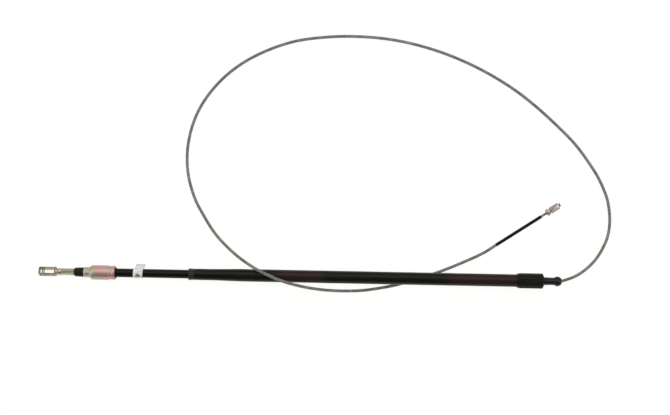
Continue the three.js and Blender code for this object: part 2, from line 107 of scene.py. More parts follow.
SHEATH_D = 0.0036
FLANGE_D = 0.0083
SHEATH_START = Vector((0.2147, 0.0381, SHEATH_D / 2))
TAIL_HEADING = math.radians(33.5)
FLANGE_START = 0.0656
TAIL_PITCH = math.atan((FLANGE_D - SHEATH_D) / 2 / FLANGE_START)
TAIL = (
    Matrix.Translation(SHEATH_START)
    @ Matrix.Rotation(TAIL_HEADING, 4, "Z")
    @ Matrix.Rotation(-TAIL_PITCH, 4, "Y")
)


def ends(node, place):
    """First and last station of a solid along the X axis of its place."""
    solid = frame["nodes"][node]
    to_place = place.inverted() @ solid.matrix_world
    stations = [(to_place @ vertex.co).x for vertex in solid.data.vertices]
    return min(stations), max(stations)


print("lean: %.2f degrees, axis height: %.2f mm" % (math.degrees(LEAN), axis_foot.z * 1000))

# %% [markdown]
# ## From a bmesh to a finished piece
#
# Every piece ends in the same way. Its mesh is moved to its place, its normals are made to point
# outwards, and it is shaded smooth with sharp edges kept where two faces meet steeply. Then it
# rides on its body, takes its material and stands for its solid, which is hidden.

# %% Finish a piece
SHARP = math.radians(38)


def open_edges(mesh):
    """How many edges don't lie between two faces, which is none on a closed mesh."""
    faces_at = {}
    for polygon in mesh.polygons:
        for key in polygon.edge_keys:
            faces_at[key] = faces_at.get(key, 0) + 1
    return sum(count != 2 for count in faces_at.values())


def finish_piece(node, bm, place, body, material):
    """Makes an object of the bmesh, which then stands for the solid with the node's name."""
    name = node + "_finished"
    bmesh.ops.transform(bm, matrix=place, verts=bm.verts)
    bmesh.ops.recalc_face_normals(bm, faces=bm.faces)
    mesh = bpy.data.meshes.new(name)
    bm.to_mesh(mesh)
    bm.free()
    mesh.shade_smooth()
    mesh.set_sharp_from_angle(angle=SHARP)
    mesh.materials.append(material)
    piece = bpy.data.objects.new(name, mesh)
    bpy.context.scene.collection.objects.link(piece)
    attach(piece, body)
    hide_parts(node)
    print(name, "faces:", len(mesh.polygons), "open edges:", open_edges(mesh))
    return piece


# %% [markdown]
# ## Materials: one helper for colours and one for nodes
#
# Colours are written as the sRGB hex values that a paint program shows, and Blender wants them
# linear. A shader is a chain of nodes, so one small function adds a node, gives it its settings
# and links what comes before it. Many nodes keep sockets that their settings put out of use, and
# these are passed over.

# %% Colours and nodes
def colour(code):
    """An sRGB hex value as a linear colour."""
    channels = [int(code[i:i + 2], 16) / 255 for i in (0, 2, 4)]
    linear = [c / 12.92 if c <= 0.04045 else ((c + 0.055) / 1.055) ** 2.4 for c in channels]
    return (*linear, 1.0)


def socket_in_use(sockets, key=None):
    """The socket with that name or number, or else the first one in use."""
    if isinstance(key, int):
        return sockets[key]
    return next(s for s in sockets if s.enabled and key in (None, s.name))


def add(tree, kind, inputs=None, stops=None, **settings):
    """Adds a node. An input is a value, an output, or a node that stands for its own output."""
    node = tree.nodes.new("ShaderNode" + kind)
    for name, value in settings.items():
        setattr(node, name, value)
    for key, value in (inputs or {}).items():
        socket = socket_in_use(node.inputs, key)
        if isinstance(value, bpy.types.Node):
            value = socket_in_use(value.outputs)
        if isinstance(value, bpy.types.NodeSocket):
            tree.links.new(value, socket)
        else:
            socket.default_value = value
    if stops:
        elements = node.color_ramp.elements
        elements.remove(elements[1])
        elements[0].position = stops[0][0]
        elements[0].color = colour(stops[0][1])
        for position, code in stops[1:]:
            elements.new(position).color = colour(code)
    return node


def blank(name):
    """A material with an empty tree."""
    material = bpy.data.materials.new(name)
    material.use_nodes = True
    material.node_tree.nodes.clear()
    return material, material.node_tree


def surface(tree, **sockets):
    """Ends a tree with the principled shader, its sockets set by name, and the output."""
    names = {name.replace("_", " "): value for name, value in sockets.items()}
    shader = add(tree, "BsdfPrincipled", names)
    add(tree, "OutputMaterial", {"Surface": shader})


# %% [markdown]
# Patterns lie in the piece's own space, before it was put in place, so that a streak runs along
# the piece. Their sizes are real ones: the coordinates are divided by the size of a feature, and
# then the noise has a scale of one. Most of what it returns lies between 0.3 and 0.7.

# %% Patterns at a real size
NOISE_SPAN = {"From Min": 0.3, "From Max": 0.7}


def own_space(tree, place):
    """Coordinates of the piece before it was put in place, with X along its axis."""
    turn_back = {
        "Vector": add(tree, "TexCoord").outputs["Object"],
        "Location": place.to_translation(),
        "Rotation": place.to_euler(),
    }
    return add(tree, "Mapping", turn_back, vector_type="TEXTURE")


def grain(tree, where, size, detail=2.0, roughness=0.5):
    """Noise whose features are about as large as size, one number or one for each axis."""
    sizes = (size, size, size) if isinstance(size, float) else size
    scaling = {0: where, 1: tuple(1 / s for s in sizes)}
    stretched = add(tree, "VectorMath", scaling, operation="MULTIPLY")
    settings = {"Vector": stretched, "Scale": 1.0, "Detail": detail, "Roughness": roughness}
    return add(tree, "TexNoise", settings).outputs["Fac"]


# %% [markdown]
# ## The free rope
#
# The wire rope is a strand of steel wires in a thin grey coating. It is springy, so it lies in
# one wide loop: out of the ball, round above the body, over the protective tube and back under
# it, to the nipple. A curve through a list of points gives the way it lies. The points'
# third value is a lift, from the table to whatever carries the rope there.

# %% Route of the rope
ROPE_D = 0.0034
TUBE_D = 0.0138
SEAT = 0.0003
ROPE_START_X = 0.2840
MOUTH_RIM_X = 0.28617
OVER_X = -0.031
TAIL_LEAD = 0.015
ROPE_STEP = 0.0011
CUTS_BETWEEN_POINTS = 40


def axis_height(x):
    """Height of the body's axis above the table."""
    return axis_foot.z + x * math.tan(LEAN)


on_floor = ROPE_D / 2
at_ball = axis_height(MOUTH_RIM_X)
over_tube = axis_height(OVER_X) + TUBE_D / 2 + SEAT + ROPE_D / 2

leaving_ball = [
    (0.3007, 0.0056, 0.96),
    (0.3114, 0.0124, 0.88),
    (0.3230, 0.0235, 0.69),
    (0.3316, 0.0364, 0.46),
    (0.3372, 0.0493, 0.26),
    (0.3396, 0.0621, 0.11),
    (0.3394, 0.0759, 0.03),
]
loop_on_floor = [
    (0.3364, 0.0920),
    (0.3270, 0.1136),
    (0.3155, 0.1313),
    (0.2997, 0.1516),
    (0.2761, 0.1746),
    (0.2526, 0.1948),
    (0.2290, 0.2120),
    (0.1979, 0.2299),
    (0.1667, 0.2439),
    (0.1357, 0.2542),
    (0.1046, 0.2612),
    (0.0720, 0.2648),
    (0.0310, 0.2646),
    (-0.0161, 0.2573),
    (-0.0628, 0.2370),
    (-0.0943, 0.2113),
    (-0.1162, 0.1794),
    (-0.1263, 0.1450),
    (-0.1263, 0.1128),
    (-0.1185, 0.0846),
]
over_the_tube = [
    (-0.1083, 0.0653, 0.01),
    (-0.0950, 0.0454, 0.12),
    (-0.0793, 0.0292, 0.35),
    (-0.0619, 0.0157, 0.68),
    (-0.0411, 0.0038, 0.97),
    (-0.0180, -0.0056, 0.96),
    (0.0020, -0.0108, 0.78),
    (0.0240, -0.0142, 0.46),
    (0.0476, -0.0154, 0.16),
    (0.0680, -0.0146, 0.03),
]
under_the_tube = [
    (0.0880, -0.0116),
    (0.1081, -0.0072),
    (0.1503, 0.0066),
    (0.1780, 0.0181),
]


def lifted(points, top):
    """Turns each point's lift to a height, between the rope's on the table and the top."""
    return [(x, y, on_floor + (top - on_floor) * lift) for x, y, lift in points]


def before_sheath(distance, height):
    """A point in line with the sheath, that far in front of it."""
    run = Vector((math.cos(TAIL_HEADING), math.sin(TAIL_HEADING), 0.0)) * distance
    return (SHEATH_START.x - run.x, SHEATH_START.y - run.y, height)


rope_route = [
    (ROPE_START_X, 0.0, axis_height(ROPE_START_X)),
    (MOUTH_RIM_X, 0.0003, at_ball),
    *lifted(leaving_ball, at_ball),
    *[(x, y, on_floor) for x, y in loop_on_floor],
    *lifted(over_the_tube, over_tube),
    *[(x, y, on_floor) for x, y in under_the_tube],
    before_sheath(TAIL_LEAD, on_floor),
    before_sheath(SEAT, SHEATH_D / 2),
]


# %% [markdown]
# The curve through the points is a centripetal one: its handles depend on the gaps between the
# points, so it neither loops nor overshoots where they are uneven. It is then cut into even
# steps, so that the twist of the strand comes out even too.

# %% Smooth line through the points
def even_steps(dense, step):
    """The same line with its points one step apart, from its first point to its last."""
    lengths = [0.0]
    for a, b in zip(dense, dense[1:]):
        lengths.append(lengths[-1] + (b - a).length)
    count = max(1, round(lengths[-1] / step))
    line = []
    piece = 0
    for i in range(count + 1):
        wanted = lengths[-1] * i / count
        while piece < len(dense) - 2 and lengths[piece + 1] < wanted:
            piece += 1
        share = (wanted - lengths[piece]) / (lengths[piece + 1] - lengths[piece])
        line.append(dense[piece].lerp(dense[piece + 1], share))
    return line


def smooth_line(points, step):
    """Centripetal curve through the points, as points that lie one step apart."""
    points = [Vector(point) for point in points]
    knots = [2 * points[0] - points[1], *points, 2 * points[-1] - points[-2]]
    dense = [points[0]]
    for before, start, end, after in zip(knots, knots[1:], knots[2:], knots[3:]):
        lead, span, trail = (
            math.sqrt((b - a).length) for a, b in ((before, start), (start, end), (end, after))
        )
        leaving = (start - before) / lead - (end - before) / (lead + span) + (end - start) / span
        arriving = (end - start) / span - (after - start) / (span + trail) + (after - end) / trail
        handles = start + leaving * span / 3, end - arriving * span / 3
        dense += interpolate_bezier(start, *handles, end, CUTS_BETWEEN_POINTS)[1:]
    return even_steps(dense, step)


def line_length(line):
    """Length along all the points of a line."""
    return sum((b - a).length for a, b in zip(line, line[1:]))


rope_line = smooth_line(rope_route, ROPE_STEP)
print("free rope: %.3f m in %d steps" % (line_length(rope_line), len(rope_line) - 1))

# %% [markdown]
# A sweep carries an outline along a line. At each step the ring of edges is extruded and turned
# by as much as the line turns, and by a little more about the line itself, which gives the
# strand its lay. The outline of a coated strand is a circle with six shallow hollows, one
# between each two of its outer strands. How deep a point lies in a hollow is kept in the mesh,
# because shade is painted into the coating's colour there.

# %% Sweep an outline along a line
def frames_along(line, lay):
    """One matrix for each point, with X along the line, turning once about it per lay."""
    tangents = [(b - a).normalized() for a, b in zip(line, line[1:])]
    between = [(a + b).normalized() for a, b in zip(tangents, tangents[1:])]
    tangents = [tangents[0], *between, tangents[-1]]
    side = Vector((0.0, 0.0, 1.0)).cross(tangents[0]).normalized()
    places = []
    travelled = 0.0
    for i, (point, tangent) in enumerate(zip(line, tangents)):
        if i:
            side = tangents[i - 1].rotation_difference(tangent) @ side
            travelled += (point - line[i - 1]).length
        side = (side - tangent * side.dot(tangent)).normalized()
        turn = Matrix.Rotation(2 * math.pi * travelled / lay if lay else 0.0, 4, "X")
        axes = Matrix((tangent, side, tangent.cross(side))).transposed().to_4x4()
        places.append(Matrix.Translation(point) @ axes @ turn)
    return places


def ring_of_edges(bm, outline):
    """A closed ring in the YZ plane. The outline gives each angle's radius and hollow."""
    hollow_layer = bm.verts.layers.float.get("hollow") or bm.verts.layers.float.new("hollow")
    made = []
    for y, z, hollow in outline:
        vertex = bm.verts.new((0.0, y, z))
        vertex[hollow_layer] = hollow
        made.append(vertex)
    edges = [bm.edges.new((a, b)) for a, b in zip(made, made[1:] + made[:1])]
    return made, edges


def new_ring(bm, edges):
    """Extrudes a ring of edges and returns the new ring."""
    made = bmesh.ops.extrude_edge_only(bm, edges=edges)["geom"]
    verts = [part for part in made if isinstance(part, bmesh.types.BMVert)]
    fresh = [part for part in made if isinstance(part, bmesh.types.BMEdge) and part.is_boundary]
    return verts, fresh


def sweep(bm, outline, line, lay=None):
    """A closed solid along the line."""
    places = frames_along(line, lay)
    verts, edges = ring_of_edges(bm, outline)
    first = edges
    bmesh.ops.transform(bm, matrix=places[0], verts=verts)
    for before, place in zip(places, places[1:]):
        verts, edges = new_ring(bm, edges)
        bmesh.ops.transform(bm, matrix=place @ before.inverted(), verts=verts)
    for rim in (first, edges):
        bmesh.ops.contextual_create(bm, geom=rim)


def strand_outline(radius, hollow_depth, strands=6, sides=24):
    """Outline of a coated strand, as (y, z, hollow) with hollow from 0 to 1."""
    outline = []
    for i in range(sides):
        angle = 2 * math.pi * i / sides
        hollow = 1 - abs(math.cos(strands * angle / 2))
        reach = radius - hollow_depth * hollow
        outline.append((reach * math.cos(angle), reach * math.sin(angle), hollow))
    return outline


# %% [markdown]
# ** Finish of the coating.** It is polyamide or PVC, extruded over the strand while it runs
# through the die: mid grey, satin and a little uneven along its length. Shade is painted into
# the hollows between the strands.

# %% Grey coating
HOLLOW_DEPTH = 0.00022
ROPE_LAY = 0.024
COATING_GREYS = [(0.32, "6E6E6A"), (0.5, "868682"), (0.68, "A2A29C")]
COATING_PATCH = 0.006
COATING_PORES = 0.0009
COATING_PORE_DEPTH = 0.00006


def rope_coating():
    material, tree = blank("grey_polyamide_coating")
    where = add(tree, "TexCoord").outputs["Object"]
    hollow = add(tree, "Attribute", attribute_name="hollow").outputs["Fac"]
    patches = grain(tree, where, COATING_PATCH, detail=3.0)
    skin = add(tree, "ValToRGB", {"Fac": patches}, COATING_GREYS)
    # Painted shade: the grey is mixed towards dark the deeper a point lies in a hollow.
    painted_hollow_shade = {"Factor": hollow, "A": skin, "B": colour("484844")}
    satin = {"Value": patches, **NOISE_SPAN, "To Min": 0.36, "To Max": 0.52}
    fine = grain(tree, where, COATING_PORES, detail=3.0)
    surface(
        tree,
        Base_Color=add(tree, "Mix", painted_hollow_shade, data_type="RGBA"),
        Roughness=add(tree, "MapRange", satin),
        IOR=1.5,
        Normal=add(tree, "Bump", {"Height": fine, "Distance": COATING_PORE_DEPTH}),
    )
    return material


coating = rope_coating()

# %% Free rope
bm = bmesh.new()
sweep(bm, strand_outline(ROPE_D / 2, HOLLOW_DEPTH), rope_line, ROPE_LAY)
free_rope = finish_piece("free_rope", bm, Matrix(), "conduit", coating)

# %% [markdown]
# ## Turned, moulded and extruded round pieces
#
# Most pieces are round about the axis. Each is drawn as half a section: points with a station
# along the axis, a radius, and where the edge is rounded, the size of that rounding. The corners
# are bevelled while the section is still a wire, and the wire is spun once round the axis.
# Nearly all edges have one of two roundings, a slight one or a softer one.

# %% Spin a section
BROKEN = 0.0002
SOFTENED = 0.0003
SAME_POINT = 1e-6


def turned(section, sides=96):
    """A bmesh of a section spun about X. A section that meets the axis starts and ends there."""
    bm = bmesh.new()
    verts = [bm.verts.new((point[0], 0.0, point[1])) for point in section]
    closed = section[0][1] > 0
    following = verts[1:] + verts[:1] if closed else verts[1:]
    for a, b in zip(verts, following):
        bm.edges.new((a, b))
    for size in sorted({point[2] for point in section if len(point) > 2}):
        corners = [v for v, point in zip(verts, section) if len(point) > 2 and point[2] == size]
        bmesh.ops.bevel(
            bm,
            geom=corners,
            offset=size,
            offset_type="OFFSET",
            segments=4,
            profile=0.5,
            affect="VERTICES",
            material=-1,
        )
    bmesh.ops.spin(
        bm,
        geom=bm.verts[:] + bm.edges[:],
        cent=(0.0, 0.0, 0.0),
        axis=(1.0, 0.0, 0.0),
        angle=2 * math.pi,
        steps=sides,
        use_merge=True,
    )
    bmesh.ops.remove_doubles(bm, verts=bm.verts, dist=SAME_POINT)
    return bm


# %% [markdown]
# ## Swaged and ribbed pieces
#
# A sleeve that is pressed eight-sided on a rope, or moulded with ribs, isn't round, but it still
# grows along the axis. A loft starts from a circle, and each next ring is extruded from the last
# and given its station and its own outline, which says how far out it reaches at each angle.

# %% Loft rings along the axis
def round_outline(radius):
    return lambda angle: radius


def swaged_outline(across_flats, corner, dish, flats=8):
    """Flats left by the jaws, each a little dished, with corners cut at a round envelope."""
    half_pitch = math.pi / flats

    def reach(angle):
        off_middle = (angle + half_pitch) % (2 * half_pitch) - half_pitch
        dished = dish * (1 - (off_middle / half_pitch) ** 2)
        return min(corner, across_flats / 2 / math.cos(off_middle)) - dished

    return reach


def lofted(rings, sides):
    """A bmesh through (station, outline) rings. The last ring is joined to the first."""
    bm = bmesh.new()
    first = bmesh.ops.create_circle(bm, cap_ends=False, segments=sides, radius=1.0)["verts"]
    quarter = Matrix.Rotation(math.pi / 2, 4, "Y")
    bmesh.ops.transform(bm, matrix=quarter, verts=first)
    verts = first
    edges = first_edges = bm.edges[:]
    for i, (station, outline) in enumerate(rings):
        if i:
            verts, edges = new_ring(bm, edges)
        for vertex in verts:
            angle = math.atan2(vertex.co.z, vertex.co.y)
            reach = outline(angle)
            vertex.co = (station, reach * math.cos(angle), reach * math.sin(angle))
    bmesh.ops.bridge_loops(bm, edges=first_edges + edges)
    return bm


def soften(bm, width, angle=math.radians(30), segments=2):
    """Rounds every edge whose faces meet at more than the angle."""
    sharp = [e for e in bm.edges if e.is_manifold and e.calc_face_angle(0.0) > angle]
    bmesh.ops.bevel(
        bm,
        geom=sharp,
        offset=width,
        offset_type="OFFSET",
        segments=segments,
        profile=0.5,
        affect="EDGES",
        clamp_overlap=True,
        material=-1,
    )


# %% [markdown]
# ## Zinc plate
#
# All steel fittings are zinc plated and then passivated, which leaves a film thinner than a
# wavelength of light. That film gives the steel its khaki, straw and pink tints, which run softly
# into one another over a centimetre or so. A turned piece also shows fine rings from the tool,
# and a pressed piece long lines from the grinding of its strip. They are drawn coarser than they
# are, to show at this scale.

# %% Zinc plated steel
TOOL_RING = (0.0005, 0.02, 0.02)
GRINDING_LINE = (0.008, 0.0005, 0.0005)
MARK_DEPTH = 0.00002
GREEN_FILM = [(0.36, "A3A68A"), (0.47, "C0BCA2"), (0.56, "D3C4B0"), (0.66, "CDB3A6")]
PINK_FILM = [(0.36, "AFAD98"), (0.46, "C9B5A6"), (0.56, "D9B1A7"), (0.66, "C9B9A6")]
OLIVE_FILM = [(0.36, "6C6F58"), (0.47, "918C74"), (0.56, "ABA08C"), (0.66, "A08E7F")]
ROSE_FILM = [(0.36, "C6C6B9"), (0.45, "BCB5A0"), (0.54, "DAABA2"), (0.68, "CDB2A8")]
MAUVE_FILM = [(0.36, "B2B0A6"), (0.47, "C6B8B3"), (0.56, "D4BEBA"), (0.66, "C2B7AE")]


def zinc_plate(name, place, film, patch, marks_size, roughness, mottle=0.2, drift=None):
    """Zinc plate. The film's tint varies by mottle, and drifts along and across the piece."""
    material, tree = blank(name)
    where = own_space(tree, place)
    patches = grain(tree, where, patch, detail=1.5)
    mottled = {"Value": patches, **NOISE_SPAN, "To Min": 0.5 - mottle, "To Max": 0.5 + mottle}
    tint = add(tree, "MapRange", mottled)
    if drift:
        middle, per_metre = drift
        away = add(tree, "VectorMath", {0: where, 1: (middle, 0.0, 0.0)}, operation="SUBTRACT")
        run = add(tree, "VectorMath", {0: away, 1: per_metre}, operation="DOT_PRODUCT")
        tint = add(tree, "Math", {0: tint, 1: run})
    marks = grain(tree, where, marks_size)
    dirt = add(tree, "MapRange", {"Value": marks, **NOISE_SPAN, "To Min": 0.0, "To Max": 0.16})
    clean = add(tree, "ValToRGB", {"Fac": tint}, film)
    dulled = {"Factor": dirt, "A": clean, "B": colour("6B6250")}
    uneven = {"To Min": roughness - 0.05, "To Max": roughness + 0.06}
    surface(
        tree,
        Base_Color=add(tree, "Mix", dulled, data_type="RGBA"),
        Metallic=1.0,
        Roughness=add(tree, "MapRange", {"Value": marks, **NOISE_SPAN, **uneven}),
        Normal=add(tree, "Bump", {"Height": marks, "Distance": MARK_DEPTH}),
    )
    return material


FILM_PATCH = 0.009
TURNED_PATCH = 0.007
FERRULE_PATCH = 0.008
FERRULE_DRIFT = (8.0, 8.0, 0.0)

zinc_turned = zinc_plate("zinc_plate_turned", BODY, GREEN_FILM, TURNED_PATCH, TOOL_RING, 0.32)
zinc_pressed = zinc_plate("zinc_plate_pressed", EYE, OLIVE_FILM, FILM_PATCH, GRINDING_LINE, 0.27)
zinc_nipple = zinc_plate("zinc_plate_nipple", TAIL, MAUVE_FILM, FILM_PATCH, TOOL_RING, 0.38)
ferrule_middle = sum(ends("ferrule", BODY)) / 2
zinc_ferrule = zinc_plate(
    "zinc_plate_ferrule",
    BODY,
    ROSE_FILM,
    FERRULE_PATCH,
    TOOL_RING,
    0.48,
    mottle=0.08,
    drift=(ferrule_middle, FERRULE_DRIFT),
)

# %% [markdown]
# ## The eye
#
# The eye is a strap bent round to a loop and closed by a thick end wall. Its outline is a
# rectangle with rounded corners, and so is its window. A frame between the two outlines is
# extruded to the strap's width, and its long edges are rounded before the holes are cut, because
# a bevel works best on a clean mesh. The holes for the sleeve and the pin are then cut by
# boolean modifiers.

# %% Eye's frame
EYE_HEIGHT = 0.0088
EYE_WIDTH = 0.0062
EYE_STRAP = 0.0014
EYE_END_WALL = 0.003
EYE_CORNER = 0.0016
WINDOW_CORNER = 0.0007
EYE_EDGE = 0.00035
FIT = 0.0002

eye_tip, eye_rear = ends("eye_loop", BODY)
window_front = eye_tip + EYE_STRAP
window_rear = eye_rear - EYE_END_WALL


def rounded_rectangle(bm, left, right, height, corner, level):
    """Edges of a rounded rectangle in the XY plane at that level."""
    made = bmesh.ops.create_grid(bm, x_segments=1, y_segments=1, size=0.5)["verts"]
    scale = Matrix.Diagonal((right - left, height, 1.0, 1.0))
    move = Matrix.Translation(((left + right) / 2, 0.0, level))
    bmesh.ops.transform(bm, matrix=move @ scale, verts=made)
    rounded = bmesh.ops.bevel(
        bm,
        geom=made,
        offset=corner,
        offset_type="OFFSET",
        segments=8,
        profile=0.5,
        affect="VERTICES",
        material=-1,
    )
    face = max(rounded["verts"][0].link_faces, key=lambda face: len(face.verts))
    edges = face.edges[:]
    bmesh.ops.delete(bm, geom=[face], context="FACES_ONLY")
    return edges


def eye_frame():
    """The strap and the end wall, without their holes."""
    bm = bmesh.new()
    level = -EYE_WIDTH / 2
    outer = rounded_rectangle(bm, eye_tip, eye_rear, EYE_HEIGHT, EYE_CORNER, level)
    window_height = EYE_HEIGHT - 2 * EYE_STRAP
    inner = rounded_rectangle(bm, window_front, window_rear, window_height, WINDOW_CORNER, level)
    made = bmesh.ops.bridge_loops(bm, edges=outer + inner)["faces"]
    top = bmesh.ops.extrude_face_region(bm, geom=made, use_keep_orig=True)["geom"]
    top_verts = [part for part in top if isinstance(part, bmesh.types.BMVert)]
    bmesh.ops.translate(bm, vec=(0.0, 0.0, EYE_WIDTH), verts=top_verts)
    bmesh.ops.recalc_face_normals(bm, faces=bm.faces)
    soften(bm, EYE_EDGE, angle=math.radians(60), segments=3)
    return bm


# %% [markdown]
# A cutter is an object of its own that the boolean reads and that is then thrown away. The
# result is taken from the evaluated mesh, so no modifier is left on the piece.

# %% Cut holes with booleans
def mesh_object(name, bm):
    bmesh.ops.recalc_face_normals(bm, faces=bm.faces)
    mesh = bpy.data.meshes.new(name)
    bm.to_mesh(mesh)
    bm.free()
    piece = bpy.data.objects.new(name, mesh)
    bpy.context.scene.collection.objects.link(piece)
    return piece


def carved(blank_bm, cutters):
    """The blank less its cutters, as a new bmesh."""
    work = mesh_object("carving", blank_bm)
    tools = [mesh_object("cutter", cutter) for cutter in cutters]
    for tool in tools:
        cut = work.modifiers.new("cut", "BOOLEAN")
        cut.operation = "DIFFERENCE"
        cut.solver = "EXACT"
        cut.object = tool
    shown = work.evaluated_get(bpy.context.evaluated_depsgraph_get())
    result = bmesh.new()
    result.from_mesh(shown.to_mesh())
    shown.to_mesh_clear()
    for done in (work, *tools):
        mesh = done.data
        bpy.data.objects.remove(done)
        bpy.data.meshes.remove(mesh)
    return result


def rod(front, rear, radius, sides=64):
    """A plain round bar about X."""
    return turned([(front, 0.0), (front, radius), (rear, radius), (rear, 0.0)], sides)


# %% Holes for the sleeve and the pin
BARREL_NOSE_D = 0.007
SPIGOT_D = 0.0046
BARREL_SEAT = 0.0019
OVERCUT = 0.001
PIN_D = 0.0031
PIN_GAP = 0.0018
PIN_SIDES = 48

seat_floor = eye_rear - BARREL_SEAT
pin_centre = window_front + PIN_GAP + PIN_D / 2
PIN = Matrix.Translation((pin_centre, 0.0, 0.0)) @ Matrix.Rotation(math.pi / 2, 4, "Z")

half_pin = EYE_HEIGHT / 2
pin_hole = rod(-half_pin - OVERCUT, half_pin + OVERCUT, PIN_D / 2 + FIT, PIN_SIDES)
bmesh.ops.transform(pin_hole, matrix=PIN, verts=pin_hole.verts)
eye = carved(
    eye_frame(),
    [
        rod(seat_floor, eye_rear + OVERCUT, BARREL_NOSE_D / 2 + FIT),
        rod(window_rear - OVERCUT, seat_floor + OVERCUT, SPIGOT_D / 2 + FIT),
        pin_hole,
    ],
)
finish_piece("eye_loop", eye, EYE, "inner_wire", zinc_pressed)

# %% [markdown]
# The pin is a round bar through both sides of the loop, riveted flush. The hook of the brake
# lever pulls on it.

# %% Eye's pin
pin = turned(
    [
        (-half_pin, 0.0),
        (-half_pin, PIN_D / 2, SOFTENED),
        (half_pin, PIN_D / 2, SOFTENED),
        (half_pin, 0.0),
    ],
    PIN_SIDES,
)
zinc_pin = zinc_plate("zinc_plate_pin", EYE @ PIN, PINK_FILM, FILM_PATCH, TOOL_RING, 0.3)
finish_piece("eye_pin", pin, EYE @ PIN, "inner_wire", zinc_pin)

# %% [markdown]
# ## The crimp sleeve
#
# The sleeve is turned, pushed through the eye's end wall, and then pressed on the rope between
# eight jaws. Between the jaws the steel is squeezed out to low ridges, which catch the light as
# bright lines. Its profile is one loft: spigot, nose, barrel, pressed stretch and bore.

# %% Crimp sleeve
BARREL_D = 0.0079
BARREL_NOSE = 0.0024
BARREL_LENGTH = 0.0069
BARREL_CHAMFER = 0.0005
NOSE_GROOVE = 0.0004
NOSE_GROOVE_DEPTH = 0.0002
CRIMP_FLATS = 0.0072
CRIMP_RAMP = 0.0004
CRIMP_END_STEP = 0.0008
RIDGE = 0.00009
STRAND_D = 0.0028
FLAT_DISH = 0.00012
strand_bore = STRAND_D / 2 + FIT

spigot_front, crimp_rear = ends("crimp_sleeve", BODY)
barrel_front = seat_floor + SEAT
nose_rear = barrel_front + BARREL_NOSE
crimp_front = barrel_front + BARREL_LENGTH
spigot = round_outline(SPIGOT_D / 2)
nose = round_outline(BARREL_NOSE_D / 2)
groove = round_outline(BARREL_NOSE_D / 2 - NOSE_GROOVE_DEPTH)
barrel = round_outline(BARREL_D / 2)
pressed = swaged_outline(CRIMP_FLATS, BARREL_D / 2, FLAT_DISH)
pressed_end = swaged_outline(CRIMP_FLATS - CRIMP_END_STEP, BARREL_D / 2 - BARREL_CHAMFER, 0.0)
bore = round_outline(strand_bore)

sleeve = lofted(
    [
        (spigot_front, bore),
        (spigot_front, spigot),
        (barrel_front, spigot),
        (barrel_front, nose),
        (nose_rear - NOSE_GROOVE - NOSE_GROOVE_DEPTH / 2, nose),
        (nose_rear - NOSE_GROOVE, groove),
        (nose_rear, groove),
        (nose_rear + BARREL_CHAMFER, barrel),
        (crimp_front - CRIMP_RAMP, barrel),
        (crimp_front + CRIMP_RAMP, pressed),
        (crimp_rear - BARREL_CHAMFER, pressed),
        (crimp_rear, pressed_end),
        (crimp_rear, bore),
    ],
    sides=128,
)
soften(sleeve, RIDGE, angle=math.radians(40))
finish_piece("crimp_sleeve", sleeve, BODY, "inner_wire", zinc_turned)

# %% [markdown]
# ## The housed rope
#
# Inside the conduit runs the same rope, bare where the crimp sleeve grips it. It shows only when
# the eye is pulled out, between the sleeve and the boot.

# %% Housed rope
HOUSED_STEP = 0.0012
GRIPPED_STEP = 0.002


def straight(front, rear):
    """The two ends of a line on the axis."""
    return [Vector((front, 0.0, 0.0)), Vector((rear, 0.0, 0.0))]


rope_front, rope_rear = ends("inner_rope", BODY)
coated_front = crimp_rear + SEAT
bm = bmesh.new()
housed_line = even_steps(straight(coated_front, rope_rear), HOUSED_STEP)
sweep(bm, strand_outline(ROPE_D / 2, HOLLOW_DEPTH), housed_line, ROPE_LAY)
gripped_line = even_steps(straight(rope_front, coated_front), GRIPPED_STEP)
sweep(bm, strand_outline(STRAND_D / 2, HOLLOW_DEPTH), gripped_line, ROPE_LAY)
finish_piece("inner_rope", bm, BODY, "inner_wire", coating)

# %% [markdown]
# ## Rubber
#
# The boot and the seal are nitrile rubber and the end sleeve is a softer thermoplastic rubber.
# All are moulded, black with a trace of brown, and dull: the mould's surface is finely eroded,
# and that grain spreads the highlights wide. A thin bloom of wax on rubber, and of dust on the
# plastics, also weakens their mirror, so their specular level is well under the usual half.

# %% Moulded rubber
DULLED = 0.19
BLOOM = 0.004
RUBBER_PORES = 0.0005
RUBBER_PORE_DEPTH = 0.00005


def moulded_rubber(name, dark, light, roughness):
    material, tree = blank(name)
    where = own_space(tree, BODY)
    bloom = grain(tree, where, BLOOM, detail=4.0, roughness=0.6)
    spread = {"To Min": roughness - 0.06, "To Max": roughness + 0.08}
    pores = grain(tree, where, RUBBER_PORES, detail=3.0)
    surface(
        tree,
        Base_Color=add(tree, "ValToRGB", {"Fac": bloom}, [(0.35, dark), (0.65, light)]),
        Roughness=add(tree, "MapRange", {"Value": bloom, **NOISE_SPAN, **spread}),
        IOR=1.5,
        Specular_IOR_Level=DULLED,
        Normal=add(tree, "Bump", {"Height": pores, "Distance": RUBBER_PORE_DEPTH}),
    )
    return material


boot_rubber = moulded_rubber("moulded_nitrile_rubber", "0E0E08", "181810", 0.45)
sleeve_rubber = moulded_rubber("moulded_thermoplastic_rubber", "080806", "10100D", 0.42)

# %% Boot
BOOT_FRONT_D = 0.0096
BOOT_D = 0.0107
BOOT_BEAD = 0.0011
BOOT_MOUTH = 0.0008
BOOT_MOUTH_LIP = 0.0012
BOOT_MOUTH_SLOPE = 0.0006
BOOT_ROUND = 0.001
SPOUT_D = 0.007
SPOUT_LENGTH = 0.0052
ROPE_PLAY = 0.0004
guide_bore = ROPE_D / 2 + ROPE_PLAY

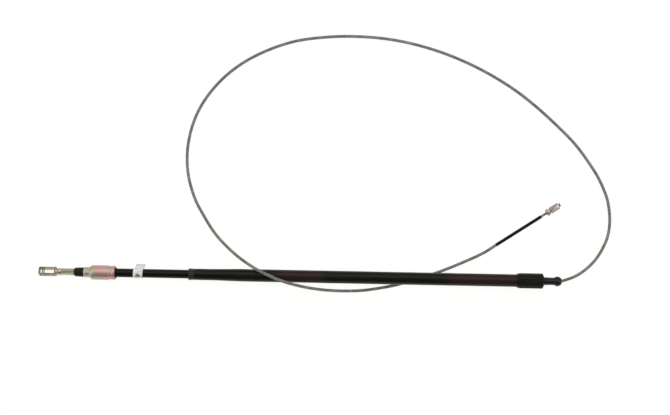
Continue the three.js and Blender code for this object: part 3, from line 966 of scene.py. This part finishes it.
boot_front, boot_rear = ends("rope_boot", BODY)
spout_front = boot_rear + SEAT - SPOUT_LENGTH
lip_radius = BOOT_FRONT_D / 2 - BOOT_MOUTH_LIP
boot = turned(
    [
        (boot_front + BOOT_MOUTH, guide_bore, BROKEN),
        (boot_front + BOOT_MOUTH, lip_radius - BOOT_MOUTH_SLOPE, SOFTENED),
        (boot_front, lip_radius, SOFTENED),
        (boot_front, BOOT_FRONT_D / 2, BOOT_ROUND),
        (boot_rear - BOOT_BEAD, BOOT_D / 2 - BROKEN, BROKEN),
        (boot_rear - BOOT_BEAD + SOFTENED, BOOT_D / 2, BROKEN),
        (boot_rear, BOOT_D / 2, SOFTENED),
        (boot_rear, SPOUT_D / 2 + FIT),
        (spout_front - SEAT, SPOUT_D / 2 + FIT),
        (spout_front - SEAT, guide_bore),
    ]
)
finish_piece("rope_boot", boot, BODY, "conduit", boot_rubber)

# %% [markdown]
# ## The ferrule
#
# The ferrule is turned from bar: a spigot for the boot, a collar, a short cone, the full
# diameter that fills the hole in the backing plate, a shallow groove for the spring clip, and a
# lip. Its film is thicker than the other fittings' and looks pink.

# %% Ferrule
COLLAR_D = 0.0114
COLLAR_LENGTH = 0.0064
COLLAR_ROUND = 0.0014
CONE_LENGTH = 0.0033
FERRULE_D = 0.016
FERRULE_LENGTH = 0.0181
CONE_FOOT_ROUND = 0.0004
FERRULE_ROUND = 0.0006
GROOVE_D = 0.0149
GROOVE_LENGTH = 0.0046
GROOVE_RAMP = 0.0007
CONDUIT_D = 0.0096
SEAL_D = 0.0124
SEAL_DEPTH = 0.0036
SEAL_ROUND = 0.0005
conduit_socket = CONDUIT_D / 2 + FIT

ferrule_front, ferrule_rear = ends("ferrule", BODY)
conduit_front, conduit_end = ends("conduit_jacket", BODY)
collar_front = ferrule_front + SPOUT_LENGTH
cone_front = collar_front + COLLAR_LENGTH
full_front = cone_front + CONE_LENGTH
groove_front = full_front + FERRULE_LENGTH
lip_front = groove_front + GROOVE_LENGTH
ferrule = turned(
    [
        (ferrule_front, guide_bore),
        (ferrule_front, SPOUT_D / 2, SOFTENED),
        (collar_front, SPOUT_D / 2),
        (collar_front, COLLAR_D / 2, COLLAR_ROUND),
        (cone_front, COLLAR_D / 2, CONE_FOOT_ROUND),
        (full_front, FERRULE_D / 2, FERRULE_ROUND),
        (groove_front, FERRULE_D / 2, SOFTENED),
        (groove_front + GROOVE_RAMP, GROOVE_D / 2, BROKEN),
        (lip_front - GROOVE_RAMP, GROOVE_D / 2, BROKEN),
        (lip_front, FERRULE_D / 2 - FIT, SOFTENED),
        (ferrule_rear, FERRULE_D / 2 - FIT, FERRULE_ROUND),
        (ferrule_rear, SEAL_D / 2 + FIT),
        (ferrule_rear - SEAL_DEPTH - SEAT, SEAL_D / 2 + FIT),
        (ferrule_rear - SEAL_DEPTH - SEAT, conduit_socket),
        (conduit_front - SEAT, conduit_socket),
        (conduit_front - SEAT, guide_bore),
    ]
)
finish_piece("ferrule", ferrule, BODY, "conduit", zinc_ferrule)

# %% Seal ring in the ferrule's mouth
seal_front, seal_rear = ends("ferrule_seal", BODY)
seal = turned(
    [
        (seal_front, conduit_socket),
        (seal_front, SEAL_D / 2),
        (seal_rear, SEAL_D / 2, SEAL_ROUND),
        (seal_rear, conduit_socket, SOFTENED),
    ]
)
finish_piece("ferrule_seal", seal, BODY, "conduit", boot_rubber)

# %% [markdown]
# ## Extruded black plastic
#
# The conduit's skin is polypropylene and the protective tube polyethylene. Both come out of a
# die, so their fine lines run lengthwise, and a soft tube also keeps shallow waves from being
# coiled. The tube is browner in two places: before the end sleeve and after the rope crosses it.

# %% Extruded plastic
BROWN = "2A1A17"
BROWN_PLACES = [(0.205, 0.055), (0.0, 0.032)]
STUD_TOP_SCUFF_AND_HIGHLIGHT = "6A6A62"
DIE_LINES = (0.035, 0.0012, 0.0012)
DIE_LINE_DEPTH = 0.00005
SCUFFS = (0.008, 0.002, 0.002)


def extruded_plastic(name, dark, light, roughness, place=BODY, brown_places=()):
    """Black plastic, grey where the mesh marks stud tops: partly scuffing, partly a painted
    highlight.
    """
    material, tree = blank(name)
    where = own_space(tree, place)
    lines = grain(tree, where, DIE_LINES, detail=3.0)
    base = add(tree, "ValToRGB", {"Fac": lines}, [(0.35, dark), (0.65, light)])
    along = add(tree, "SeparateXYZ", {"Vector": where}).outputs["X"]
    for middle, half_length in brown_places:
        away = add(tree, "Math", {0: along, 1: middle}, operation="SUBTRACT")
        away = add(tree, "Math", {0: away}, operation="ABSOLUTE")
        limits = {"Value": away, "From Min": half_length, "From Max": half_length / 2}
        share = add(tree, "MapRange", limits, interpolation_type="SMOOTHSTEP")
        base = add(tree, "Mix", {"Factor": share, "A": base, "B": colour(BROWN)}, data_type="RGBA")
    # Stud tops are mixed to grey: partly real scuffing, partly a painted highlight.
    scuff_and_highlight_share = add(tree, "Attribute", attribute_name="stud_top_scuff_and_highlight").outputs["Fac"]
    base = add(tree, "Mix", {"Factor": scuff_and_highlight_share, "A": base, "B": colour(STUD_TOP_SCUFF_AND_HIGHLIGHT)}, data_type="RGBA")
    scuffs = grain(tree, where, SCUFFS, detail=4.0, roughness=0.65)
    spread = {"To Min": roughness - 0.06, "To Max": roughness + 0.07}
    surface(
        tree,
        Base_Color=base,
        Roughness=add(tree, "MapRange", {"Value": scuffs, **NOISE_SPAN, **spread}),
        IOR=1.49,
        Specular_IOR_Level=DULLED,
        Normal=add(tree, "Bump", {"Height": lines, "Distance": DIE_LINE_DEPTH}),
    )
    return material


jacket_plastic = extruded_plastic("extruded_polypropylene", "060606", "0C0C0B", 0.25)
tube_plastic = extruded_plastic(
    "extruded_polyethylene", "0A0A07", "12120F", 0.26, brown_places=BROWN_PLACES
)

# %% Conduit's jacket
WINDING_BORE = 0.0038
jacket = turned(
    [
        (conduit_front, WINDING_BORE),
        (conduit_front, CONDUIT_D / 2, SOFTENED),
        (conduit_end, CONDUIT_D / 2, SOFTENED),
        (conduit_end, WINDING_BORE),
    ]
)
finish_piece("conduit_jacket", jacket, BODY, "conduit", jacket_plastic)

# %% [markdown]
# ## The protective tube
#
# The tube is slid over the conduit and held by friction. At its front it has a lip, and its
# first six millimetres are squeezed on the conduit by a tool that leaves rows of small studs.
# Then it is narrow, and it widens slowly to its full size. It is spun with many stations. Each
# point is moved in or out by less than a tenth of a millimetre by a smooth noise, which makes
# the long highlights waver, and in the squeezed band the studs stand out.

# %% Protective tube
TUBE_THIN_D = 0.0124
TUBE_LIP_D = 0.013
TUBE_LIP = 0.0024
TUBE_LIP_CHAMFER = 0.0004
TAPER_START = 0.022
TAPER_END = 0.062
WAVE = 0.00007
WAVE_LENGTH = 0.011
STATION_STEP = 0.0035
STUD_BAND = 0.0068
STUD_PITCH = 0.0022
STUD_HEIGHT = 0.00045
STUDS_ROUND = 16
STUD_STEP = 0.00028
STUD_MARGIN = 0.0005
TUBE_SIDES = 128

tube_front, tube_end = ends("protective_tube", BODY)


def tube_radius(station):
    """Radius of the tube behind its lip, which grows smoothly from thin to full."""
    share = (station - tube_front - TAPER_START) / (TAPER_END - TAPER_START)
    share = min(1.0, max(0.0, share))
    share = share * share * (3 - 2 * share)
    return TUBE_THIN_D / 2 + (TUBE_D - TUBE_THIN_D) / 2 * share


def even_stations(start, end, step):
    """Stations after the start, up to the end, about a step apart."""
    count = round((end - start) / step)
    return [start + (end - start) * i / count for i in range(1, count + 1)]


tube_start = tube_front + TUBE_LIP
band_end = tube_front + STUD_BAND
tube_stations = even_stations(tube_start, band_end, STUD_STEP)
tube_stations += even_stations(band_end, tube_end, STATION_STEP)
lip_edge = tube_front + TUBE_LIP_CHAMFER
lip_stations = [lip_edge, *even_stations(lip_edge, tube_start, STUD_STEP)]


def lip_left(station):
    """What is left of the lip's height along the band of studs."""
    share = (band_end - station) / (band_end - tube_start)
    return (TUBE_LIP_D - TUBE_THIN_D) / 2 * min(1.0, max(0.0, 2 * share))


tube_section = [
    (tube_front, conduit_socket),
    (tube_front, TUBE_LIP_D / 2 - SOFTENED),
    *[(station, TUBE_LIP_D / 2) for station in lip_stations],
    *[(station, tube_radius(station) + lip_left(station)) for station in tube_stations],
    (tube_end, conduit_socket),
]


def stud(point):
    """How far up a stud a point lies, from 0 between the studs to 1 on top of one."""
    row = math.pi * (point.x - tube_front) / STUD_PITCH
    column = math.atan2(point.z, point.y) * STUDS_ROUND / 2
    return math.sin(row) ** 2 * math.cos(column) ** 2


bm = turned(tube_section, TUBE_SIDES)
# Stud tops are marked for grey, partly real scuffing and partly a painted highlight.
stud_top_scuff_and_highlight = bm.verts.layers.float.new("stud_top_scuff_and_highlight")
for vertex in bm.verts:
    reach = math.hypot(vertex.co.y, vertex.co.z)
    if tube_front < vertex.co.x < tube_end and reach > conduit_socket + FIT:
        push = noise.noise(vertex.co / WAVE_LENGTH) * WAVE
        if tube_front + STUD_MARGIN < vertex.co.x < band_end:
            vertex[stud_top_scuff_and_highlight] = stud(vertex.co) ** 2
            push -= (1 - stud(vertex.co)) * STUD_HEIGHT
        vertex.co.y *= 1 + push / reach
        vertex.co.z *= 1 + push / reach
finish_piece("protective_tube", bm, BODY, "conduit", tube_plastic)

# %% [markdown]
# ## The end sleeve
#
# The sleeve is pushed over the tube's end and has sixteen flat ribs for grip, a plain lead at its
# front and a steep chamfer at its rear.

# %% Ribbed end sleeve
SLEEVE_THICKNESS = 0.0012
SLEEVE_LEAD = 0.0026
SLEEVE_LEAD_STEP = 0.0006
SLEEVE_RIBS = 16
RIB_DEPTH = 0.0006
RIB_GAP = 0.36
SLEEVE_END_WALL = 0.004
SLEEVE_CHAMFER = 0.0016
SLEEVE_CHAMFER_STEP = 0.003
NECK_RING_D = 0.0089
SLEEVE_EDGE = 0.00025

sleeve_front, sleeve_rear = ends("end_sleeve", BODY)
sleeve_bore = TUBE_D / 2 + FIT
sleeve_radius = sleeve_bore + SLEEVE_THICKNESS
sleeve_floor = sleeve_rear - SLEEVE_END_WALL


def ribbed_outline(radius, depth):
    """Flat ribs with a rounded groove between each two."""
    def reach(angle):
        share = angle * SLEEVE_RIBS / (2 * math.pi) % 1.0
        into_groove = 1 - abs(share - 0.5) * 2 / RIB_GAP
        return radius - depth * math.sin(math.pi / 2 * min(1.0, max(0.0, into_groove))) ** 2

    return reach


plain_lead = round_outline(sleeve_radius - SLEEVE_LEAD_STEP)
ribs = ribbed_outline(sleeve_radius, RIB_DEPTH)
neck_hole = round_outline(NECK_RING_D / 2 + FIT)
end_sleeve = lofted(
    [
        (sleeve_front, round_outline(sleeve_bore)),
        (sleeve_front, plain_lead),
        (sleeve_front + SLEEVE_LEAD / 2, plain_lead),
        (sleeve_front + SLEEVE_LEAD, ribs),
        (sleeve_rear - SLEEVE_CHAMFER, ribs),
        (sleeve_rear, round_outline(sleeve_radius - SLEEVE_CHAMFER_STEP)),
        (sleeve_rear, neck_hole),
        (sleeve_floor, neck_hole),
        (sleeve_floor, round_outline(sleeve_bore)),
    ],
    sides=192,
)
soften(end_sleeve, SLEEVE_EDGE, angle=math.radians(35))
finish_piece("end_sleeve", end_sleeve, BODY, "conduit", sleeve_rubber)

# %% [markdown]
# ## The ball guide
#
# The guide is moulded in nylon: a flange that is trapped in the end sleeve, a neck with two low
# rings, and a ball that seats in a socket of the car's body. Nylon comes from a polished mould,
# so it is the glossiest piece of the cable.

# %% Ball guide
NECK_D = 0.0082
NECK_RINGS = 2
NECK_RING = 0.0012
NECK_RING_PITCH = 0.0026
NECK_LENGTH = 0.0148
GUIDE_FLANGE = 0.003
BALL_D = 0.0108
MOUTH_D = 0.0066
MOUTH_DEPTH = 0.0022
MOUTH_ROUND = 0.0004
BALL_STEPS = 24
FLOW_MARKS = 0.005
NYLON_PORES = 0.0008
NYLON_PORE_DEPTH = 0.00003
NYLON_SHEEN = 0.32

guide_front, mouth_rim = ends("ball_guide", BODY)
ball_centre = sleeve_rear + NECK_LENGTH
guide_flange_radius = sleeve_bore - 2 * FIT


def moulded_nylon():
    material, tree = blank("moulded_black_nylon")
    where = own_space(tree, BODY)
    flow = grain(tree, where, FLOW_MARKS, detail=3.0)
    polished = {"Value": flow, **NOISE_SPAN, "To Min": 0.2, "To Max": 0.32}
    pores = {"Height": grain(tree, where, NYLON_PORES), "Distance": NYLON_PORE_DEPTH}
    surface(
        tree,
        Base_Color=add(tree, "ValToRGB", {"Fac": flow}, [(0.35, "070706"), (0.65, "0E0E0C")]),
        Roughness=add(tree, "MapRange", polished),
        IOR=1.53,
        Specular_IOR_Level=NYLON_SHEEN,
        Normal=add(tree, "Bump", pores),
    )
    return material


neck_profile = []
for i in range(NECK_RINGS):
    ring_front = sleeve_rear + NECK_RING + i * NECK_RING_PITCH
    neck_profile += [
        (ring_front, NECK_D / 2, BROKEN / 2),
        (ring_front, NECK_RING_D / 2, BROKEN),
        (ring_front + NECK_RING, NECK_RING_D / 2, BROKEN),
        (ring_front + NECK_RING, NECK_D / 2, BROKEN / 2),
    ]
ball_radius = BALL_D / 2
ball_from = math.pi - math.asin(NECK_D / BALL_D)
ball_to = math.asin(MOUTH_D / BALL_D)
ball_profile = []
for i in range(BALL_STEPS + 1):
    angle = ball_from + (ball_to - ball_from) * i / BALL_STEPS
    station = ball_centre + ball_radius * math.cos(angle)
    ball_profile.append((station, ball_radius * math.sin(angle)))
guide = turned(
    [
        (guide_front, guide_flange_radius, BROKEN),
        (guide_front + GUIDE_FLANGE, guide_flange_radius, BROKEN),
        (guide_front + GUIDE_FLANGE, NECK_RING_D / 2),
        (sleeve_rear, NECK_RING_D / 2, BROKEN),
        (sleeve_rear, NECK_D / 2),
        *neck_profile,
        *ball_profile,
        (mouth_rim - MOUTH_DEPTH, guide_bore, MOUTH_ROUND),
        (guide_front, guide_bore),
    ]
)
finish_piece("ball_guide", guide, BODY, "conduit", moulded_nylon())

# %% [markdown]
# ## The label
#
# A strip of white film is wound round the conduit and its two ends are stuck together as a flag.
# It is bare here. The film is swept along its own path: in along the flag, round the conduit and
# out again, and its two layers drift apart sideways, because such a label is never put on quite
# straight. A grey smudge from handling lies across it.

# %% Sizes of the label
LABEL_THICKNESS = 0.0004
LABEL_WIDTH = 0.0103
LABEL_TO_TUBE = 0.0504
FLAG_REACH = 0.0102
FLAG_PRESSED = 0.0062
FLAG_SHIFT = 0.0028
FLAG_RISE = 0.0008
WRAP_SHIFT = 0.3
FILM = 0.00018
LABEL_COLUMNS = 8
LABEL_TURNS = 72
SMUDGE_Y = -0.0024
SMUDGE = (0.0036, 0.0024, 0.02)
HAZE = 0.003
RAGGED_EDGE = 0.0012
WRINKLES = 0.0022
WRINKLE_DEPTH = 0.0001

label_rear = tube_front - LABEL_TO_TUBE
label_front = label_rear - LABEL_WIDTH
film_radius = conduit_socket + LABEL_THICKNESS - FILM / 2
layer_gap = FILM * 0.55


# %% White film
def label_film():
    material, tree = blank("white_polyester_film")
    where = own_space(tree, BODY)
    whites = [(0.35, "CFCFCB"), (0.5, "E8E8E5"), (0.7, "F2F2F0")]
    base = add(tree, "ValToRGB", {"Fac": grain(tree, where, HAZE, detail=3.0)}, whites)
    smudge_middle = ((label_front + label_rear) / 2, SMUDGE_Y, 0.0)
    spot = {"Vector": where, "Location": smudge_middle, "Scale": SMUDGE}
    spot = add(tree, "Mapping", spot, vector_type="TEXTURE")
    distance = add(tree, "VectorMath", {0: spot}, operation="LENGTH")
    edge = grain(tree, where, RAGGED_EDGE, detail=3.0)
    ragged = add(tree, "MapRange", {"Value": edge, **NOISE_SPAN, "To Min": -0.35, "To Max": 0.35})
    distance = add(tree, "Math", {0: distance, 1: ragged})
    limits = {"Value": distance, "From Min": 1.1, "From Max": 0.5, "To Max": 0.9}
    inside = add(tree, "MapRange", limits, interpolation_type="SMOOTHSTEP")
    smudged = {"Factor": inside, "A": base, "B": colour("45453F")}
    wrinkles = grain(tree, where, WRINKLES)
    surface(
        tree,
        Base_Color=add(tree, "Mix", smudged, data_type="RGBA"),
        Roughness=0.38,
        IOR=1.6,
        Normal=add(tree, "Bump", {"Height": wrinkles, "Distance": WRINKLE_DEPTH}),
    )
    return material


# %% Label
def curl(y):
    """The flag's tip rises a little."""
    return FLAG_RISE * ((y - film_radius) / (FLAG_REACH - film_radius)) ** 2


def label_path():
    """Points of (y, z, drift) from the flag's tip round the conduit and back to the tip."""
    bend = math.asin(layer_gap / film_radius)
    out = [
        (FLAG_REACH, 1.0),
        (FLAG_REACH * 0.85, 0.95),
        (FLAG_REACH * 0.7, 0.8),
        (FLAG_PRESSED, 0.55),
    ]
    path = [(y, layer_gap + curl(y), drift) for y, drift in out]
    for i in range(LABEL_TURNS + 1):
        share = i / LABEL_TURNS
        angle = bend + (2 * math.pi - 2 * bend) * share
        drift = WRAP_SHIFT * (2 * abs(share - 0.5)) ** 3
        path.append((film_radius * math.cos(angle), film_radius * math.sin(angle), drift))
    path += [(y, -layer_gap + curl(y), drift) for y, drift in reversed(out)]
    return path


def new_row(bm, edges):
    """Extrudes an open row of edges and returns the new row."""
    made = bmesh.ops.extrude_edge_only(bm, edges=edges)["geom"]
    verts = [part for part in made if isinstance(part, bmesh.types.BMVert)]
    lines = [part for part in made if isinstance(part, bmesh.types.BMEdge)]
    return verts, [line for line in lines if all(v in verts for v in line.verts)]


def label_strip():
    bm = bmesh.new()
    stations = [label_front + LABEL_WIDTH * i / LABEL_COLUMNS for i in range(LABEL_COLUMNS + 1)]
    row = [bm.verts.new((station, 0.0, 0.0)) for station in stations]
    edges = [bm.edges.new((a, b)) for a, b in zip(row, row[1:])]
    place = Matrix()
    for i, (y, z, drift) in enumerate(label_path()):
        if i:
            row, edges = new_row(bm, edges)
        target = Matrix.Translation((FLAG_SHIFT * drift, y, z))
        bmesh.ops.transform(bm, matrix=target @ place.inverted(), verts=row)
        place = target
    bmesh.ops.recalc_face_normals(bm, faces=bm.faces)
    bmesh.ops.solidify(bm, geom=bm.faces[:], thickness=FILM)
    return bm


finish_piece("label_wrap", label_strip(), BODY, "conduit", label_film())

# %% [markdown]
# ## The rope's end
#
# The last stretch of the rope wears a black sheath. Past it the coating is stripped, and the bare
# strand runs through the nipple and sticks out behind it, where it was cut and has sprung open.

# %% Sheath
SHEATH_SIDES = 48

sheath_front, sheath_rear = ends("rope_sheath", TAIL)
sheath = turned(
    [
        (sheath_front, strand_bore),
        (sheath_front, SHEATH_D / 2, BROKEN),
        (sheath_rear, SHEATH_D / 2, BROKEN),
        (sheath_rear, strand_bore),
    ],
    SHEATH_SIDES,
)
sheath_plastic = extruded_plastic("extruded_black_sheath", "040404", "080808", 0.3, place=TAIL)
sheath_piece = finish_piece("rope_sheath", sheath, TAIL, "conduit", sheath_plastic)

# %% [markdown]
# ** A bare strand** is six strands of seven wires, laid round a seventh strand. Each wire is a
# helix on a helix. Only the wires that show are made, each as a thin sweep of six sides, and a
# plain core stands for the strand in the middle. The wire is drawn through a die and then
# galvanised, so it is bright grey with fine streaks along it, and past the nipple's end it is made
# dark.

# %% Drawn wire
NIPPLE_END = 0.0819
DARK_END_FADE = 0.0004
WIRE_STREAKS = (0.002, 0.0003, 0.0003)


def drawn_wire():
    """Bright wire that is made dark past the nipple's end."""
    material, tree = blank("drawn_galvanised_wire")
    where = own_space(tree, TAIL)
    streaks = grain(tree, where, WIRE_STREAKS)
    along = add(tree, "SeparateXYZ", {"Vector": where}).outputs["X"]
    # Past the nipple's end the colour is mixed to dark.
    limits = {"Value": along, "From Min": NIPPLE_END, "From Max": NIPPLE_END + DARK_END_FADE}
    bright = add(tree, "ValToRGB", {"Fac": streaks}, [(0.35, "7E7E79"), (0.65, "B6B6B0")])
    cut = {"Factor": add(tree, "MapRange", limits), "A": bright, "B": colour("33322E")}
    surface(
        tree,
        Base_Color=add(tree, "Mix", cut, data_type="RGBA"),
        Metallic=1.0,
        Roughness=add(
            tree, "MapRange", {"Value": streaks, **NOISE_SPAN, "To Min": 0.26, "To Max": 0.42}
        ),
    )
    return material


# %% Bare strand
OUTER_STRANDS = 6
WIRES = 6
STRAND_LAY = 0.019
WIRE_LAY = 0.0075
WIRE_STEP = 0.0004
wire_radius = STRAND_D / 18
strand_offset = STRAND_D / 3
FRAY = (0.9, 0.15, 0.45, 1.3, 0.3, 0.7)
CUT_BACK = (0.0, 0.0006, 0.0002, 0.0, 0.0009, 0.0004)
LOOSENED = 0.5
TUCKED_IN = 0.001
CORE_SHARE = 0.9
CORE_SIDES = 12

strand_front, strand_rear = ends("rope_end", TAIL)


def wire_line(strand, wire, start, end):
    """Line of one wire. Past the nipple its strand springs out and opens."""
    points = []
    steps = max(2, round((end - start) / WIRE_STEP))
    for i in range(steps + 1):
        station = start + (end - start) * i / steps
        around = 2 * math.pi * (strand / OUTER_STRANDS + station / STRAND_LAY)
        twist = 2 * math.pi * (wire / WIRES - station / WIRE_LAY)
        past = max(0.0, (station - NIPPLE_END) / (strand_rear - NIPPLE_END))
        away = strand_offset * (1 + FRAY[strand] * past ** 2)
        out = Vector((0.0, math.cos(around), math.sin(around)))
        side = Vector((0.0, -math.sin(around), math.cos(around)))
        local = 2 * wire_radius * (1 + LOOSENED * past ** 2)
        points.append(
            Vector((station, 0.0, 0.0))
            + out * (away + local * math.cos(twist))
            + side * local * math.sin(twist)
        )
    return points


def wire_outline(radius, sides=6):
    """A plain circle of few sides, in the form that a sweep takes."""
    angles = [2 * math.pi * i / sides for i in range(sides)]
    return [(radius * math.cos(a), radius * math.sin(a), 0.0) for a in angles]


bm = bmesh.new()
shown_stretches = [
    (sheath_rear - TUCKED_IN, FLANGE_START + TUCKED_IN),
    (NIPPLE_END - TUCKED_IN, strand_rear),
]
for start, end in shown_stretches:
    for strand in range(OUTER_STRANDS):
        cut = CUT_BACK[strand] if end == strand_rear else 0.0
        for wire in range(WIRES):
            sweep(bm, wire_outline(wire_radius), wire_line(strand, wire, start, end - cut))
core_outline = wire_outline(strand_offset * CORE_SHARE, CORE_SIDES)
sweep(bm, core_outline, straight(strand_front, NIPPLE_END))
strand_piece = finish_piece("rope_end", bm, TAIL, "conduit", drawn_wire())

# %% [markdown]
# ## The nipple
#
# The nipple is turned with a domed flange, which seats in the hand lever, a narrow neck and a
# barrel. The barrel is pressed on the strand between eight jaws, as the crimp sleeve is, and
# ends in a chamfer.

# %% Nipple
FLANGE_LENGTH = 0.0032
FLANGE_RIM = 0.0009
NIPPLE_NECK_D = 0.0056
NIPPLE_NECK = 0.0021
NIPPLE_D = 0.0077
NIPPLE_FLATS = 0.0071
NIPPLE_CHAMFER = 0.0008
NIPPLE_END_STEP = 0.0014
NIPPLE_START_STEP = 0.0004
NIPPLE_RIDGE = 0.0001
DOME_STEPS = 12

flange_start, nipple_end = ends("nipple", TAIL)
flange_end = flange_start + FLANGE_LENGTH
barrel_start = flange_end + NIPPLE_NECK
dome_height = FLANGE_LENGTH - FLANGE_RIM
dome_foot = strand_bore + FIT
dome = []
for i in range(DOME_STEPS + 1):
    angle = math.pi / 2 * i / DOME_STEPS
    reach = dome_foot + (FLANGE_D / 2 - dome_foot) * math.sin(angle)
    dome.append((flange_start + dome_height * (1 - math.cos(angle)), round_outline(reach)))
nipple_flats = swaged_outline(NIPPLE_FLATS, NIPPLE_D / 2, FLAT_DISH)
nipple_neck = round_outline(NIPPLE_NECK_D / 2)
start_radius = NIPPLE_D / 2 - NIPPLE_START_STEP / 2
end_radius = NIPPLE_D / 2 - NIPPLE_CHAMFER
flats_start = swaged_outline(NIPPLE_FLATS - NIPPLE_START_STEP, start_radius, 0.0)
flats_end = swaged_outline(NIPPLE_FLATS - NIPPLE_END_STEP, end_radius, 0.0)
nipple = lofted(
    [
        (flange_start, round_outline(strand_bore)),
        *dome,
        (flange_end, round_outline(FLANGE_D / 2)),
        (flange_end, nipple_neck),
        (barrel_start, nipple_neck),
        (barrel_start, flats_start),
        (barrel_start + NIPPLE_START_STEP, nipple_flats),
        (nipple_end - NIPPLE_CHAMFER, nipple_flats),
        (nipple_end, flats_end),
        (nipple_end, round_outline(strand_bore)),
    ],
    sides=128,
)
soften(nipple, NIPPLE_RIDGE, angle=math.radians(40))
nipple_piece = finish_piece("nipple", nipple, TAIL, "conduit", zinc_nipple)

# %% [markdown]
# ## What stays hidden
#
# The liner and the winding never show, but a cut conduit would show them: a smooth white tube
# inside a spiral of bright flat wire. Their solids stay, with a finish of their own.

# %% Liner and winding
FLAT_WIRE_PITCH = 0.0012
FLAT_WIRE_GAP_DEPTH = 0.0001
WAVES_PER_METRE = 20 / (2 * math.pi)
LINER_LINES = (0.03, 0.0006, 0.0006)


def liner_plastic():
    material, tree = blank("extruded_acetal_liner")
    lines = grain(tree, own_space(tree, BODY), LINER_LINES)
    base = add(tree, "ValToRGB", {"Fac": lines}, [(0.35, "DDDBD3"), (0.65, "E9E7E0")])
    surface(tree, Base_Color=base, Roughness=0.35, IOR=1.48)
    return material


def flat_wire():
    """Bright turns with painted shade in the gaps. At a scale of one the waves are 20 in two pi
    metres.
    """
    material, tree = blank("flat_wire_winding")
    pitch = {"Vector": own_space(tree, BODY), "Scale": 1 / WAVES_PER_METRE / FLAT_WIRE_PITCH}
    turns = add(tree, "TexWave", pitch, bands_direction="X").outputs["Fac"]
    surface(
        tree,
        # Painted shade: the gaps between the turns are coloured dark.
        Base_Color=add(tree, "ValToRGB", {"Fac": turns}, [(0.1, "4C4B48"), (0.5, "A6A6A1")]),
        Metallic=1.0,
        Roughness=0.35,
        Normal=add(tree, "Bump", {"Height": turns, "Distance": FLAT_WIRE_GAP_DEPTH}),
    )
    return material


for node, finish in (("conduit_liner", liner_plastic()), ("conduit_winding", flat_wire())):
    mesh = frame["nodes"][node].data
    mesh.materials.clear()
    mesh.materials.append(finish)

# %% [markdown]
#

# %% [markdown]
# ## Table and light
#
# The table is white and almost free of shadow. Its diffuse part keeps a trace of shadow under
# the cable, and the rest of its white comes from a glow for the camera and for mirrored rays
# alone, so that it doesn't light the cable. A large soft box above the loop's side gives the black
# plastics their broad highlight. A low strip on the near side draws their thin lower line.
# The boxes at the two ends light the rest without showing in the round pieces, for a cylinder
# mirrors only what lies across it. The air lights the cable weakly, is dimmer still where a piece
# mirrors it, so that black stays black, and is white where the camera sees it.

# %% White table
TABLE_SIZE = 24.0
GLOW = 0.85
GLOW_STRENGTH = 1.1


def table_white():
    """White paper, with a glow for rays from the camera, a mirror or a clear body."""
    material, tree = blank("white_table")
    ray = add(tree, "LightPath").outputs
    kinds = add(tree, "Math", {0: ray["Is Camera Ray"], 1: ray["Is Glossy Ray"]})
    kinds = add(tree, "Math", {0: kinds, 1: ray["Is Transmission Ray"]})
    share = add(tree, "Math", {0: kinds, 1: GLOW}, operation="MULTIPLY")
    paper = add(tree, "BsdfDiffuse", {"Color": colour("D8D8D6")})
    glow = add(tree, "Emission", {"Color": colour("FFFFFD"), "Strength": GLOW_STRENGTH})
    both = add(tree, "MixShader", {0: share, 1: paper, 2: glow})
    add(tree, "OutputMaterial", {"Surface": both})
    return material


bm = bmesh.new()
bmesh.ops.create_grid(bm, x_segments=1, y_segments=1, size=TABLE_SIZE / 2)
table = mesh_object("table", bm)
table.data.materials.append(table_white())


# %% Lamps and world
def soft_box(name, place, size, watts, aim=(0.0, 0.05, 0.0)):
    """A rectangular lamp that faces the aim."""
    lamp = bpy.data.lights.new(name, "AREA")
    lamp.shape = "RECTANGLE"
    lamp.size, lamp.size_y = size
    lamp.energy = watts
    holder = bpy.data.objects.new(name, lamp)
    holder.location = place
    holder.rotation_euler = (Vector(aim) - Vector(place)).to_track_quat("-Z", "Y").to_euler()
    holder.visible_camera = False
    bpy.context.scene.collection.objects.link(holder)


soft_box("box_loop_side", (0.05, 0.78, 1.0), (2.2, 1.4), 10.5)
soft_box("box_left_end", (-1.3, 0.05, 0.9), (0.9, 0.9), 6.0)
soft_box("box_right_end", (1.35, 0.05, 0.9), (0.9, 0.9), 6.0)
soft_box("strip_near_side", (0.05, -1.1, 0.1), (2.0, 0.12), 1.8)

AIR = 0.3
AIR_MIRRORED = 0.22
AIR_SEEN = 1.0

world = bpy.data.worlds.new("studio")
world.use_nodes = True
air_tree = world.node_tree
air_tree.nodes.clear()
ray = add(air_tree, "LightPath").outputs
level = AIR
for kind, value in (("Is Glossy Ray", AIR_MIRRORED), ("Is Camera Ray", AIR_SEEN)):
    level = add(air_tree, "Mix", {"Factor": ray[kind], "A": level, "B": value})
air = add(air_tree, "Background", {"Color": colour("FFFFFF"), "Strength": level})
add(air_tree, "OutputWorld", {"Surface": air})
bpy.context.scene.world = world
bpy.context.scene.view_settings.view_transform = "Standard"
